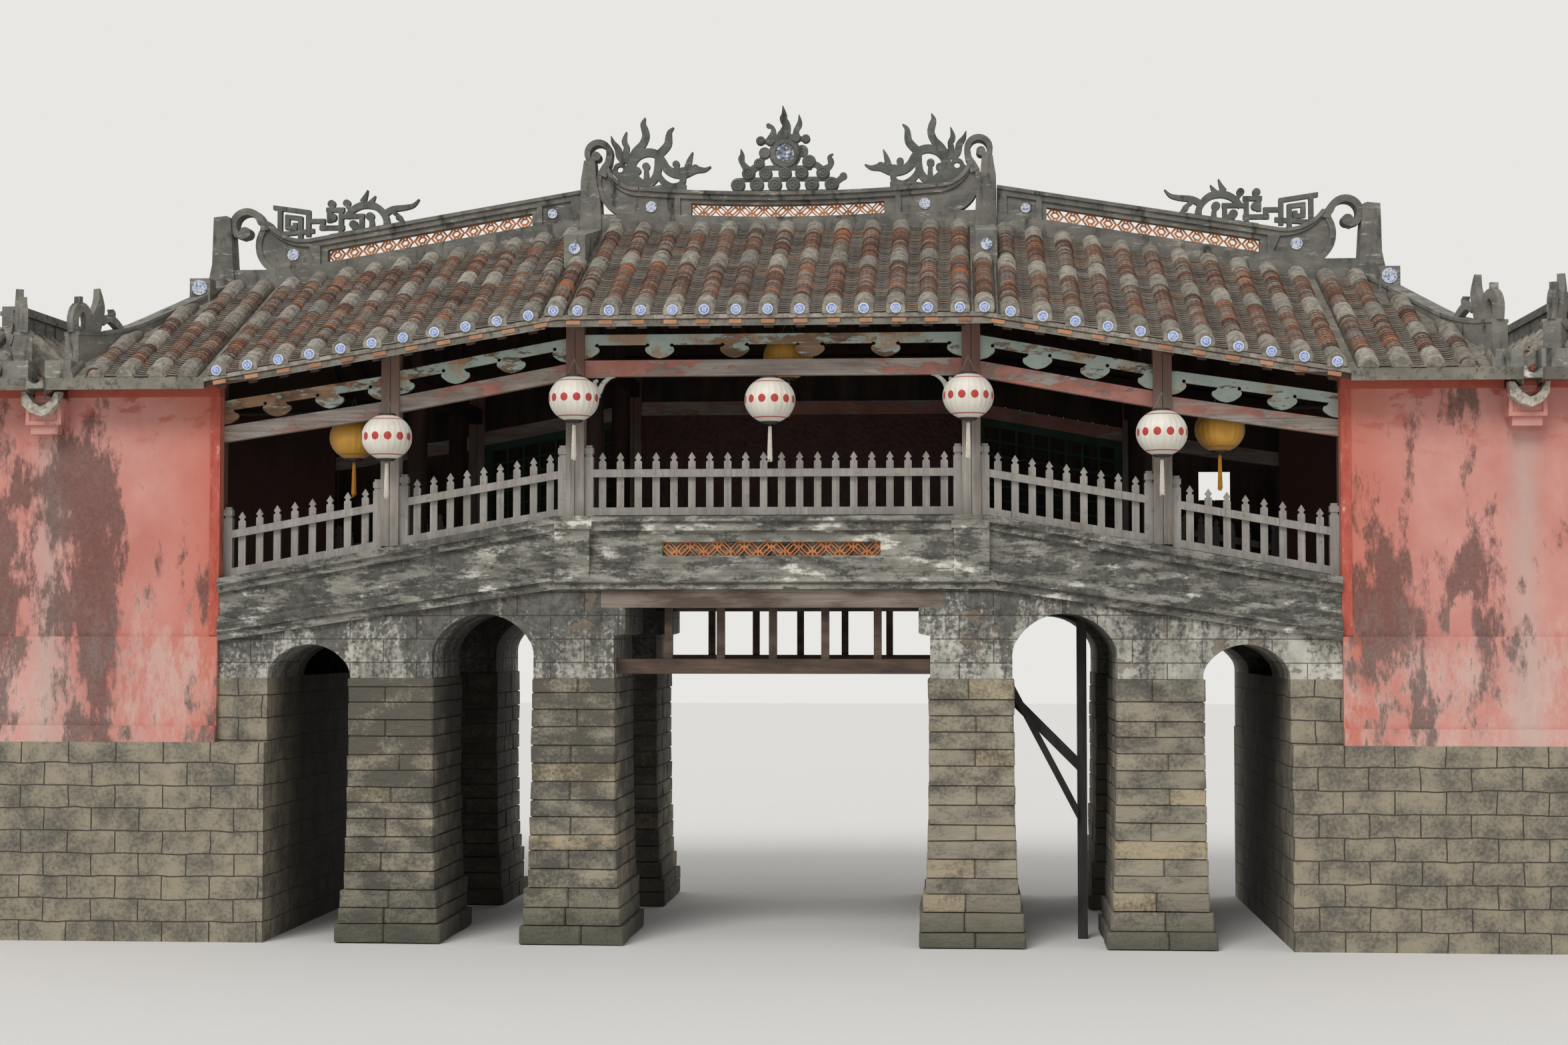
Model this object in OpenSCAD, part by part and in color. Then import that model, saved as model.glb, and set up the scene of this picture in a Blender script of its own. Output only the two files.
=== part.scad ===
// Covered footbridge of masonry and timber with a tiled roof and a gatehouse at each end.
// X runs along the bridge, the front faces -Y, Z is up and z = 0 is the foot of the piers.
// All sizes are millimetres.

/* [Spans along the bridge] */
// Clear width of the middle opening
main_span = 3620; // [3400:10:3900]
// Width of the pier beside the middle opening
inner_pier_w = 930; // [800:10:1000]
// Clear width of the inner side arch
inner_arch_span = 1180; // [1100:10:1260]
// Width of the outer pier
outer_pier_w = 960; // [850:10:1050]
// Clear width of the outer side arch
outer_arch_span = 970; // [900:10:1050]
// Masonry between the outer arch and the gatehouse
end_jamb_w = 580; // [500:10:700]
// Length of one gatehouse wall
gate_len = 3520; // [3300:10:3800]
// Distance between the two centre posts
centre_bay = 4570; // [4500:10:4640]
// Distance from a centre post to the next post
side_bay = 2170; // [2100:10:2240]

/* [Widths across the bridge] */
// Width of the masonry over its two faces
bridge_w = 5500; // [5300:10:5700]
// Depth of each row of piers
arcade_depth = 1580; // [1400:10:1700]
// Thickness of the parapets
parapet_t = 350; // [300:10:400]
// Roof width from eave to eave
roof_w = 6500; // [6400:10:6700]
// Thickness of the gatehouse walls
gate_wall_t = 300; // [250:10:350]
// Distance between the two rows of inner columns
column_gap = 2400; // [2200:10:2500]

/* [Masonry levels] */
// Level at which the piers end and the arches start
pier_top_z = 3030; // [2950:10:3080]
// Springing level of the inner arches
inner_spring_z = 3300; // [3250:10:3350]
// Crown level of the inner arches
inner_crown_z = 3770; // [3700:10:3800]
// Crown level of the outer arches
outer_crown_z = 3420; // [3350:10:3450]
// Level of the foot of the gatehouse walls
gate_base_z = 2290; // [2200:10:2350]
// Underside of the middle parapet
parapet_base_z = 4050; // [4030:10:4100]
// Height of the middle parapet
parapet_h = 840; // [800:10:880]
// Fall of the parapet foot for each unit outward
foot_fall = 0.15; // [0.14:0.005:0.16]
// Fall of the parapet top and of the floor for each unit outward
deck_fall = 0.18; // [0.17:0.005:0.19]
// Depth of the floor below the parapet top
floor_drop = 350; // [320:10:380]
// Height of the pier footing
footing_h = 420; // [300:10:500]
// How far the pier footing stands out
footing_out = 80; // [40:5:100]

/* [Timber frame] */
// Width of the outer posts
post_w = 210; // [180:5:230]
// Diameter of the inner columns
column_d = 240; // [200:5:280]
// Underside of the middle eave beam
beam_z = 6520; // [6480:10:6560]
// Height of the eave beams
beam_h = 185; // [160:5:200]
// Thickness of the eave beams
beam_t = 120; // [90:5:140]
// Height of the floor boards
board_t = 80; // [60:5:100]
// Height of the joists
joist_h = 180; // [150:5:200]
// Width of the joists
joist_w = 120; // [100:5:150]
// Height of the fence tips over the parapet
fence_h = 750; // [700:10:800]
// Width of a fence picket
picket_w = 84; // [70:1:95]

/* [Roof] */
// Level of the tiles at the middle eave
eave_z = 7150; // [7100:10:7200]
// Rise of the roof from eave to ridge
roof_rise = 1530; // [1450:10:1600]
// Half length of the level middle roof
roof_break_x = 2400; // [2380:10:2420]
// Fall of the side roofs for each unit outward
roof_fall = 0.165; // [0.155:0.005:0.175]
// Thickness of the roof boards and bedding
roof_t = 120; // [100:5:140]
// Radius of a tile roll
roll_r = 100; // [90:1:110]
// Spacing of the tile rolls
roll_pitch = 360; // [350:1:370]
// Where the side roof becomes the gatehouse roof
gate_roof_x = 6480; // [6460:10:6520]
// Middle of the valley between the two roofs of a gatehouse
valley_x = 8450; // [8400:10:8500]
// Width of the valley gutter
gutter_w = 200; // [160:10:240]
// Rise of the outer gate roof
gate_rise = 775; // [700:10:850]
// Overhang of the gate roof past the end wall
end_eave = 250; // [200:10:300]
// Thickness of the ridge walls
ridge_t = 250; // [220:10:280]
// Height of the middle ridge wall
ridge_h = 430; // [400:10:480]
// Height of the side ridge walls
side_ridge_h = 515; // [480:5:560]

/* [Doorways and lanterns] */
// Width of the end doorways
door_w = 2400; // [2200:10:2600]
// Level at which the doorway arch starts
door_spring_z = 5300; // [5200:10:5400]
// Diameter of a lantern
lantern_d = 580; // [540:10:620]
// Height of a lantern
lantern_h = 520; // [480:10:540]

/* [Hidden] */
$fn = 48;
// Small gap that keeps neighbouring pieces apart
gap = 0.3;
// Stations along the bridge, from the middle to one end
pier_in_x = main_span / 2;
pier_out_x = pier_in_x + inner_pier_w;
outer_pier_x = pier_out_x + inner_arch_span;
outer_arch_x = outer_pier_x + outer_pier_w;
jamb_x = outer_arch_x + outer_arch_span;
gate_x = jamb_x + end_jamb_w;
end_x = gate_x + gate_len;
roof_end_x = end_x + end_eave;
post1_x = centre_bay / 2;
post2_x = post1_x + side_bay;
face_y = bridge_w / 2;
arcade_y = face_y - arcade_depth;
eave_y = roof_w / 2;
// Pedestal under each centre post
pedestal_w = 400;
pedestal_x = post1_x + pedestal_w / 2;
parapet_top_z = parapet_base_z + parapet_h;
pitch = roof_rise / eave_y;
ridge_z = eave_z + roof_rise;
post_y = face_y - 200;
// Face of the floor and joists inside the parapets
inside_y = face_y - parapet_t - gap;
plate_w = 160;
plate_h = 160;
joint_gap = 2;

// Level lines along the bridge, all functions of the distance from the middle
function past(x, from) = max(0, abs(x) - from);
function parapet_foot(x) = parapet_base_z - foot_fall * past(x, pedestal_x);
function parapet_top(x) = parapet_top_z - deck_fall * past(x, pedestal_x);
bend_gap = 18;
function floor_top(x) = parapet_top(min(abs(x), valley_x)) - floor_drop;
function bed_top(x) = floor_top(x) - board_t - joist_h;
function roof_drop(x) = roof_fall * (min(max(abs(x), roof_break_x), gate_roof_x) - roof_break_x);
function roof_under(x, y) = eave_z - roof_drop(x) + (eave_y - abs(y)) * pitch - roof_t / cos(atan(pitch));

// Extrudes an outline drawn in the XZ plane from y0 to y1
module xz(y0, y1) {
    translate([0, y1, 0]) rotate([90, 0, 0]) linear_extrude(y1 - y0) children();
}
// Extrudes an outline drawn in the YZ plane from x0 to x1
module yz(x0, x1) {
    translate([x0, 0, 0]) rotate([90, 0, 90]) linear_extrude(x1 - x0) children();
}
module block(x0, x1, y0, y1, z0, z1) {
    translate([x0, y0, z0]) cube([x1 - x0, y1 - y0, z1 - z0]);
}
module both_ends() {
    children();
    mirror([1, 0, 0]) children();
}
module both_faces() {
    children();
    mirror([0, 1, 0]) children();
}
// Bar between two heights that differ at its ends
module raked(x0, x1, low0, low1, high0, high1, y0, y1) {
    xz(y0, y1) polygon([[x0, low0], [x1, low1], [x1, high1], [x0, high0]]);
}
// Bar of one depth whose underside runs from one height to another
module sloped(x0, x1, z0, z1, h, y0, y1) {
    raked(x0, x1, z0, z1, z0 + h, z1 + h, y0, y1);
}

// Smooth line through a few chosen points, each an x, a z and the half width of a band there
function eased_point(p, i, t) =
    let (a = p[max(i - 1, 0)], b = p[i], c = p[i + 1], d = p[min(i + 2, len(p) - 1)])
    (2 * b + (c - a) * t + (2 * a - 5 * b + 4 * c - d) * t * t + (3 * b - a - 3 * c + d) * t * t * t) / 2;
function eased(p, steps) =
    concat([for (i = [0 : len(p) - 2], k = [0 : steps - 1]) eased_point(p, i, k / steps)], [p[len(p) - 1]]);
// Points along an arc or a spiral, with the half width of the band
function turn(c, r0, r1, w0, w1, from, to, n) =
    [for (i = [0 : n]) let (t = i / n, a = from + (to - from) * t, r = r0 + (r1 - r0) * t)
        [c[0] + r * cos(a), c[1] + r * sin(a), w0 + (w1 - w0) * t]];
function band_outline(q) =
    let (
        n = len(q) - 1,
        along = [for (i = [0 : n]) q[min(i + 1, n)] - q[max(i - 1, 0)]],
        side = [for (d = along) [-d[1], d[0]] / norm([d[0], d[1]])]
    )
    concat([for (i = [0 : n]) [q[i][0], q[i][1]] + q[i][2] * side[i]],
        [for (i = [n : -1 : 0]) [q[i][0], q[i][1]] - q[i][2] * side[i]]);
module stroke(p, steps = 3) {
    polygon(band_outline(eased(p, steps)));
}

// Outline of a flat arch of three arcs over a span, its springing line at y = 0
haunch_steps = 5;
crown_steps = 16;
function arch_outline(span, rise, haunch_r, below) =
    let (
        side = span / 2 - haunch_r,
        crown_r = (side * side + rise * rise - haunch_r * haunch_r) / (2 * (rise - haunch_r)),
        lean = atan2(crown_r - rise, side),
        haunch = [for (i = [0 : haunch_steps]) let (a = lean * i / haunch_steps)
            haunch_r * [cos(a), sin(a)]],
        crown = [for (i = [1 : crown_steps - 1]) lean + (180 - 2 * lean) * i / crown_steps]
    )
    concat(
        [[span / 2, -below]],
        [for (p = haunch) [side + p[0], p[1]]],
        [for (a = crown) [crown_r * cos(a), rise - crown_r + crown_r * sin(a)]],
        [for (i = [haunch_steps : -1 : 0]) [-side - haunch[i][0], haunch[i][1]]],
        [[-span / 2, -below]]
    );

// One pier with its stepped footing
module pier(x0, x1) {
    block(x0, x1, -face_y, -arcade_y, 0, pier_top_z);
    for (step = [0, 1]) {
        out = footing_out / (step + 1);
        block(x0 - out, x1 + out, -face_y - out, -arcade_y + out, 0, footing_h * (step + 1) / 2);
    }
}
module pier_row() {
    color("#83796a") both_ends() {
        pier(pier_in_x, pier_out_x);
        pier(outer_pier_x, outer_arch_x);
    }
}
module piers_front() {
    pier_row();
}
module piers_rear() {
    mirror([0, 1, 0]) pier_row();
}

// Base ledge of the gatehouse walls
ledge_h = 190;
ledge_out = 120;
module abutments() {
    color("#7b756a") both_ends() {
        block(jamb_x, end_x, -face_y - ledge_out, face_y + ledge_out, 0, gate_base_z);
        block(jamb_x, gate_x - gap, -face_y, face_y, 0, pier_top_z);
    }
}

// Masonry over two arches and a corbel towards the middle opening
inner_haunch_r = 300;
outer_haunch_r = 250;
outer_spring_z = pier_top_z + 20;
function inner_arch() =
    arch_outline(inner_arch_span, inner_crown_z - inner_spring_z, inner_haunch_r,
        inner_spring_z - pier_top_z + 1);
corbel_out = 130;
corbel_h = 320;
beam_seat = 150;
lintel_h = 210;
module arcade() {
    inner_mid = (pier_out_x + outer_pier_x) / 2;
    outer_mid = (outer_arch_x + jamb_x) / 2;
    difference() {
        union() {
            xz(-face_y, -face_y + parapet_t) polygon([
                [pier_in_x, pier_top_z], [jamb_x + end_jamb_w - gap, pier_top_z],
                [jamb_x + end_jamb_w - gap, parapet_foot(gate_x)], [pedestal_x, parapet_base_z],
                [pier_in_x, parapet_base_z]
            ]);
            xz(-face_y + parapet_t - 1, -arcade_y) polygon([
                [pier_in_x, pier_top_z], [jamb_x + end_jamb_w - gap, pier_top_z],
                [jamb_x + end_jamb_w - gap, bed_top(gate_x)], [pedestal_x, bed_top(0)],
                [pier_in_x, bed_top(0)]
            ]);
            xz(-face_y, -arcade_y) intersection() {
                translate([pier_in_x, parapet_base_z - lintel_h - gap]) circle(corbel_h);
                translate([pier_in_x - corbel_out, pier_top_z]) square([corbel_out + 1, 2000]);
                square([pier_in_x + 1, parapet_base_z - lintel_h - gap]);
            }
        }
        xz(-face_y - 1, -arcade_y + 1) {
            translate([inner_mid, inner_spring_z]) polygon(inner_arch());
            translate([outer_mid, outer_spring_z])
                polygon(arch_outline(outer_arch_span, outer_crown_z - outer_spring_z, outer_haunch_r,
                    outer_spring_z - pier_top_z + 1));
        }
        block(pier_in_x - 200, pier_in_x + beam_seat, -face_y - 1, -face_y + parapet_t + gap,
            parapet_base_z - lintel_h - gap, parapet_base_z + 1);
        block(pier_in_x - 200, pier_in_x + beam_seat, -span_beam_y - beam_t / 2 - gap,
            -span_beam_y + beam_t / 2 + gap, bed_top(0) - span_beam_h - gap, bed_top(0) + 1);
        block(pier_in_x - 1, pier_in_x + tie_seat, -tie_y - tie_w / 2 - gap, -tie_y + tie_w / 2 + gap,
            tie_z - gap, tie_z + tie_h + gap);
    }
}
module arcades_front() {
    color("#7d786c") both_ends() arcade();
}
module arcades_rear() {
    color("#7d786c") mirror([0, 1, 0]) both_ends() arcade();
}

// Timber lintels in the two faces and two beams between them over the middle opening
span_beam_y = 1500;
span_beam_h = 240;
module span_beams() {
    length = pier_in_x + beam_seat - gap;
    color("#5d4a3e") both_faces() {
        block(-length, length, -face_y, -face_y + parapet_t, parapet_base_z - lintel_h,
            parapet_base_z - gap);
        block(-length, length, -span_beam_y - beam_t / 2, -span_beam_y + beam_t / 2,
            bed_top(0) - span_beam_h, bed_top(0) - gap);
    }
}

// Tie beams low in the openings, with short studs up to the lintel
tie_z = 3080;
tie_h = 170;
tie_w = 140;
tie_y = 2480;
tie_seat = 120;
stud_w = 90;
stud_n = 5;
module lower_ties() {
    length = pier_in_x + tie_seat - gap;
    color("#6b5a4c") both_faces() {
        block(-length, length, -tie_y - tie_w / 2, -tie_y + tie_w / 2, tie_z, tie_z + tie_h);
        for (i = [1 : stud_n]) {
            x = -pier_in_x + i * main_span / (stud_n + 1);
            block(x - stud_w / 2, x + stud_w / 2, -tie_y - stud_w / 2, -tie_y + stud_w / 2,
                tie_z + tie_h + gap, parapet_base_z - lintel_h - gap);
        }
    }
}

// A post and two raking props that shore the right inner arch
prop_w = 110;
prop_post_x = 3565;
module raking_prop(y0, high_z, low_z) {
    sloped(pier_out_x + gap, prop_post_x - prop_w / 2 - gap, high_z, low_z, prop_w * 1.5, y0, y0 + prop_w);
}
module shoring_props() {
    prop_y = -arcade_y - 700;
    reach = prop_post_x + prop_w / 2 - (pier_out_x + outer_pier_x) / 2;
    top_z = inner_spring_z + lookup(reach, inner_arch());
    color("#2b2a29") {
        block(prop_post_x - prop_w / 2, prop_post_x + prop_w / 2, prop_y, prop_y + prop_w, 0, top_z - gap);
        raking_prop(prop_y - prop_w - 5, 2850, 1380);
        raking_prop(prop_y + 5, 2720, 1950);
    }
}

// Cross joists under the floor boards
joist_n = 9;
module joist_at(x) {
    lo = x - joist_w / 2;
    hi = x + joist_w / 2;
    sloped(lo, hi, bed_top(lo), bed_top(hi), joist_h - gap, -inside_y, inside_y);
}
module joists() {
    color("#57493e") {
        for (i = [0 : joist_n - 1]) {
            x = -pedestal_x + 200 + i * (2 * pedestal_x - 400) / (joist_n - 1);
            block(x - joist_w / 2, x + joist_w / 2, -inside_y, inside_y,
                bed_top(0), bed_top(0) + joist_h - gap);
        }
        for (i = [0 : 6]) both_ends() joist_at(pedestal_x + 250 + i * 560);
    }
}

module deck_centre() {
    color("#7f6f5f") block(-pedestal_x, pedestal_x, -inside_y, inside_y,
        floor_top(0) - board_t, floor_top(0));
}
module deck_slopes() {
    x0 = pedestal_x + gap;
    x1 = gate_x - gap;
    color("#7f6f5f") both_ends()
        sloped(x0, x1, floor_top(x0) - board_t, floor_top(x1) - board_t, board_t, -inside_y, inside_y);
}

// Filled floors of the gatehouses, sloping and then level, cut round the door jambs
module gate_floors() {
    y1 = face_y - gate_wall_t - gap;
    color("#8a7d70") both_ends() difference() {
        xz(-y1, y1) polygon([
            [gate_x, gate_base_z], [end_x, gate_base_z], [end_x, floor_top(valley_x)],
            [valley_x, floor_top(valley_x)], [gate_x, floor_top(gate_x)]
        ]);
        both_faces() block(end_x - gate_wall_t - gap, end_x + 1, -y1 - 1, -door_w / 2 + gap, 0,
            door_spring_z);
    }
}

// Mouldings of the parapet, drawn as a section with the face at y = 0 and the foot at z = 0
cap_out = 100;
cap_h = 85;
module parapet_section(h) {
    square([parapet_t, h]);
    translate([-cap_out + cap_h / 2, h - cap_h / 2]) circle(cap_h / 2);
    translate([-cap_out + cap_h / 2, h - cap_h]) square([cap_out, cap_h]);
    translate([-cap_out / 2, h - cap_h * 2]) square([cap_out, cap_h + 1]);
    translate([-60, 0]) square([100, 100]);
    translate([-60, 100]) circle(45);
    translate([-105, 100]) square([150, 45]);
    translate([-85, 145]) square([120, 75]);
    translate([-45, 220]) square([60, 70]);
}
module parapet_centre_face() {
    difference() {
        translate([0, -face_y, parapet_base_z]) yz(-pedestal_x, pedestal_x) parapet_section(parapet_h);
        block(-fret_w / 2, fret_w / 2, -face_y - 1, -face_y + fret_recess, fret_z, fret_z + fret_h);
    }
    both_ends() {
        block(post1_x - pedestal_w / 2, pedestal_x, -face_y - cap_out - 10, -face_y + 10,
            parapet_base_z + 120, parapet_top_z);
        block(post1_x - pedestal_w / 2 - 30, pedestal_x, -face_y - cap_out - 40, -face_y + 10,
            parapet_top_z - 150, parapet_top_z - 60);
    }
}
module parapets_centre() {
    color("#77736a") both_faces() parapet_centre_face();
}
// Side parapets follow the fall of the bridge
module parapets_side() {
    x0 = pedestal_x + gap;
    x1 = gate_x - gap;
    color("#77736a") both_ends() both_faces() {
        raked(x0, x1, parapet_foot(x0), parapet_foot(x1), parapet_top(x0), parapet_top(x1), -face_y,
            -face_y + parapet_t);
        for (band = [[100, 0, 85], [50, 85, 170]])
            sloped(x0, x1, parapet_top(x0) - band[2], parapet_top(x1) - band[2], band[2] - band[1],
                -face_y - band[0], -face_y + 1);
        for (band = [[60, 0, 100], [105, 100, 145], [85, 145, 220], [45, 220, 290]])
            sloped(x0, x1, parapet_foot(x0) + band[1], parapet_foot(x1) + band[1], band[2] - band[1],
                -face_y - band[0], -face_y + 1);
    }
}

// Pierced terracotta tiles, each drawn in a unit square: its edge with two corners cut off, and its holes
tile_edge = [[0, 1], [0.6, 1], [1, 0.6], [1, 0], [0.4, 0], [0, 0.4]];
tile_slot = [[0.38, 0.92], [0.55, 0.92], [0.92, 0.55], [0.92, 0.38]];
tile_angle = [[0.08, 0.92], [0.29, 0.92], [0.21, 0.83], [0.17, 0.83], [0.17, 0.79], [0.08, 0.71]];
tile_eye = [[0.27, 0.73], [0.44, 0.73], [0.73, 0.44], [0.73, 0.27], [0.56, 0.27], [0.27, 0.56]];
function half_turn(shape) = [for (p = shape) [1 - p[0], 1 - p[1]]];
tile_holes = [tile_slot, half_turn(tile_slot), tile_angle, half_turn(tile_angle), tile_eye];
// Unit shape set between two stations whose foot lines lie at z0 and z1
function placed(shape, x0, x1, z0, z1, h, flip) =
    [for (p = shape) let (u = flip ? 1 - p[0] : p[0]) [x0 + (x1 - x0) * u, z0 + (z1 - z0) * u + h * p[1]]];
module fret_tile(x0, x1, z0, z1, h, flip) {
    difference() {
        polygon(placed(tile_edge, x0 - gap, x1 + gap, z0, z1, h, flip));
        for (hole = tile_holes) polygon(placed(hole, x0, x1, z0, z1, h, flip));
    }
}
fret_w = 2500;
fret_h = 162;
fret_z = 4430;
fret_recess = 70;
fret_t = 30;
fret_n = 16;
module parapet_frets() {
    step = (fret_w - 4 * gap) / fret_n;
    color("#c8693f") both_faces() xz(-face_y + fret_recess - fret_t, -face_y + fret_recess - gap)
        for (i = [0 : fret_n - 1]) {
            x = -fret_w / 2 + 2 * gap + i * step;
            fret_tile(x, x + step, fret_z + gap, fret_z + gap, fret_h - 2 * gap, i % 2 == 1);
        }
}

// Posts in the two faces, from the parapet to the wall plates
module post_at(x) {
    block(x - post_w / 2, x + post_w / 2, -post_y - post_w / 2, -post_y + post_w / 2,
        parapet_top(abs(x) - post_w / 2) + gap, plate_z(abs(x) + post_w / 2) - gap);
}
function plate_z(x) = roof_under(x, post_y + plate_w / 2) - plate_h - 1;
module outer_posts() {
    color("#8d8680") both_faces() both_ends() {
        post_at(post1_x);
        post_at(post2_x);
    }
}
module wall_plates() {
    x1 = roof_break_x - joint_gap / 2;
    x2 = roof_break_x + joint_gap / 2;
    x3 = gate_x - gap;
    color("#6a4d3f") both_faces() {
        block(-x1, x1, -post_y - plate_w / 2, -post_y + plate_w / 2, plate_z(0), plate_z(0) + plate_h);
        both_ends()
            sloped(x2, x3, plate_z(x2), plate_z(x3), plate_h, -post_y - plate_w / 2, -post_y + plate_w / 2);
    }
}

// Beams between the posts under the eaves
function beam_low(x) = beam_z - roof_drop(x) * 1.05;
function side_beam_top(x) =
    let (a = post1_x + post_w / 2 + gap, b = post2_x - post_w / 2 - gap, t = (x - a) / (b - a))
    (beam_low(a) - 40) * (1 - t) + (beam_low(b) - 60) * t + beam_h;
function end_beam_top(x) =
    let (a = post2_x + post_w / 2 + gap, b = gate_x - gap, t = (x - a) / (b - a))
    (beam_low(a) - 90) * (1 - t) + (beam_low(b) - 40) * t + beam_h;
module eave_beam_face() {
    y0 = -post_y - beam_t / 2;
    y1 = -post_y + beam_t / 2;
    e1 = post1_x - post_w / 2 - gap;
    block(-e1, e1, y0, y1, beam_z, beam_z + beam_h);
    both_ends() {
        a = post1_x + post_w / 2 + gap;
        b = post2_x - post_w / 2 - gap;
        sloped(a, b, side_beam_top(a) - beam_h, side_beam_top(b) - beam_h, beam_h, y0, y1);
        c = post2_x + post_w / 2 + gap;
        d = gate_x - gap;
        sloped(c, d, end_beam_top(c) - beam_h, end_beam_top(d) - beam_h, beam_h, y0, y1);
    }
}
module eave_beams() {
    color("#9c6258") both_faces() eave_beam_face();
}
// Carved boards over the eave beams: a band with cloud drops between its arches
fascia_h = 120;
fascia_t = 40;
drop_h = 158;
drop_hook_r = 22;
function drop_half() = [[100, 20], [112, -8], [150, -22], [168, -52], [158, -84], [118, -116], [72, -142],
    [0, -drop_h]];
module cloud_drop(from, to) {
    half = eased(drop_half(), 2);
    n = len(half) - 1;
    intersection() {
        polygon(concat(half, [for (i = [n - 1 : -1 : 0]) [-half[i][0], half[i][1]]]));
        translate([from, -200]) square([to - from, 300]);
    }
}
// Bay of carved board between two posts, its lower edge on a line that falls from one end to the other
module fascia_bay(x0, x1, z0, z1, n) {
    step = (x1 - x0) / n;
    fall = (z1 - z0) / (x1 - x0);
    difference() {
        union() {
            polygon([[x0, z0], [x1, z1], [x1, z1 + fascia_h], [x0, z0 + fascia_h]]);
            for (i = [0 : n]) translate([x0 + i * step, z0 + i * step * fall])
                cloud_drop(i == 0 ? 0 : -200, i == n ? 0 : 200);
        }
        for (i = [0 : n], s = [-1, 1]) if (!(i == 0 && s < 0) && !(i == n && s > 0))
            translate([x0 + i * step + s * 142, z0 + i * step * fall - 4]) circle(drop_hook_r, $fn = 12);
    }
}
module fascias() {
    lift = drop_h + gap + 20;
    color("#8fa39c") both_faces() xz(-post_y - beam_t / 2, -post_y - beam_t / 2 + fascia_t) {
        e1 = post1_x - post_w / 2 - gap;
        fascia_bay(-e1, e1, beam_z + beam_h + lift, beam_z + beam_h + lift, 5);
        for (s = [0, 1]) mirror([s, 0]) {
            a = post1_x + post_w / 2 + gap;
            b = post2_x - post_w / 2 - gap;
            fascia_bay(a, b, side_beam_top(a) + lift, side_beam_top(b) + lift, 3);
            c = post2_x + post_w / 2 + gap;
            d = gate_x - gap;
            fascia_bay(c, d, end_beam_top(c) + lift, end_beam_top(d) + lift, 3);
        }
    }
}

// Carved scroll brackets under the ends of the middle eave beams
bracket_t = 60;
module scroll_bracket() {
    x = post1_x - post_w / 2 - gap;
    translate([x, beam_z - gap]) {
        stroke([[2, -140, 40], [-40, -196, 26], [-100, -212, 24], [-160, -180, 30], [-200, -90, 26],
            [-270, -24, 18], [-330, -6, 5]]);
        translate([-46, -96]) circle(46);
        stroke([[-150, -150, 14], [-118, -110, 20], [-112, -60, 22], [-150, -46, 16]]);
        translate([-158, -226]) circle(20);
        translate([-350, -12]) square([350, 12]);
    }
}
module scroll_brackets() {
    color("#cfccc4") xz(-post_y - bracket_t / 2, -post_y + bracket_t / 2)
        for (s = [0, 1]) mirror([s, 0]) scroll_bracket();
}

// Beams across the bridge on the inner columns
cross_w = 160;
cross_h = 200;
function cross_z(x) = beam_low(x) + beam_h + 60;
module inner_columns() {
    color("#3c2a22") both_ends() both_faces() for (x = [post1_x, post2_x])
        translate([x, -column_gap / 2, floor_top(x - column_d / 2) + gap])
            cylinder(d = column_d, h = cross_z(x) - floor_top(x - column_d / 2) - 2 * gap);
}
module cross_beams() {
    color("#4a3328") both_ends() for (x = [post1_x, post2_x])
        block(x - cross_w / 2, x + cross_w / 2, -post_y + post_w / 2 + gap, post_y - post_w / 2 - gap,
            cross_z(x), cross_z(x) + cross_h);
}
// Lengthwise timbers under the roof, one at the ridge and one over each row of columns
purlin_w = 150;
purlin_h = 150;
function purlin_z(x, y) = roof_under(x, abs(y) + purlin_w / 2) - purlin_h - 1;
module purlins() {
    x1 = roof_break_x - joint_gap / 2;
    x2 = roof_break_x + joint_gap / 2;
    x3 = gate_x - gap;
    color("#4a3328") for (y = [-column_gap / 2, 0, column_gap / 2]) {
        block(-x1, x1, y - purlin_w / 2, y + purlin_w / 2, purlin_z(0, y), purlin_z(0, y) + purlin_h);
        both_ends()
            sloped(x2, x3, purlin_z(x2, y), purlin_z(x3, y), purlin_h, y - purlin_w / 2, y + purlin_w / 2);
    }
}
module king_struts() {
    w = 130;
    color("#4a3328") both_ends() for (x = [post1_x, post2_x], y = [-column_gap / 2, 0, column_gap / 2])
        block(x - w / 2, x + w / 2, y - w / 2, y + w / 2, cross_z(x) + cross_h + gap,
            purlin_z(x + w / 2, y) - gap);
}

// Picket with a notched point
picket_t = 30;
rail_t = 50;
rail_h = 90;
module picket_outline(h) {
    w = picket_w / 2;
    polygon([[-w, 0], [-w, h - 110], [-w + 20, h - 95], [-w + 20, h - 80], [-w, h - 65],
        [0, h], [w, h - 65], [w - 20, h - 80], [w - 20, h - 95], [w, h - 110], [w, 0]]);
}
newel_w = 100;
newel_neck_h = 34;
newel_cap_h = 100;
module newel(x) {
    y0 = -post_y - newel_w / 2;
    foot = parapet_top(x - newel_w / 2) + gap;
    top = parapet_top(x) + fence_h + 80;
    neck = top - newel_cap_h - newel_neck_h;
    for (part = [[foot, neck + 1, 0], [neck, top - newel_cap_h + 1, 12],
            [top - newel_cap_h, top - 30, 0], [top - 31, top, 14]])
        block(x - newel_w / 2 + part[2], x + newel_w / 2 - part[2], y0 + part[2], y0 + newel_w - part[2],
            part[0], part[1]);
}
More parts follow.
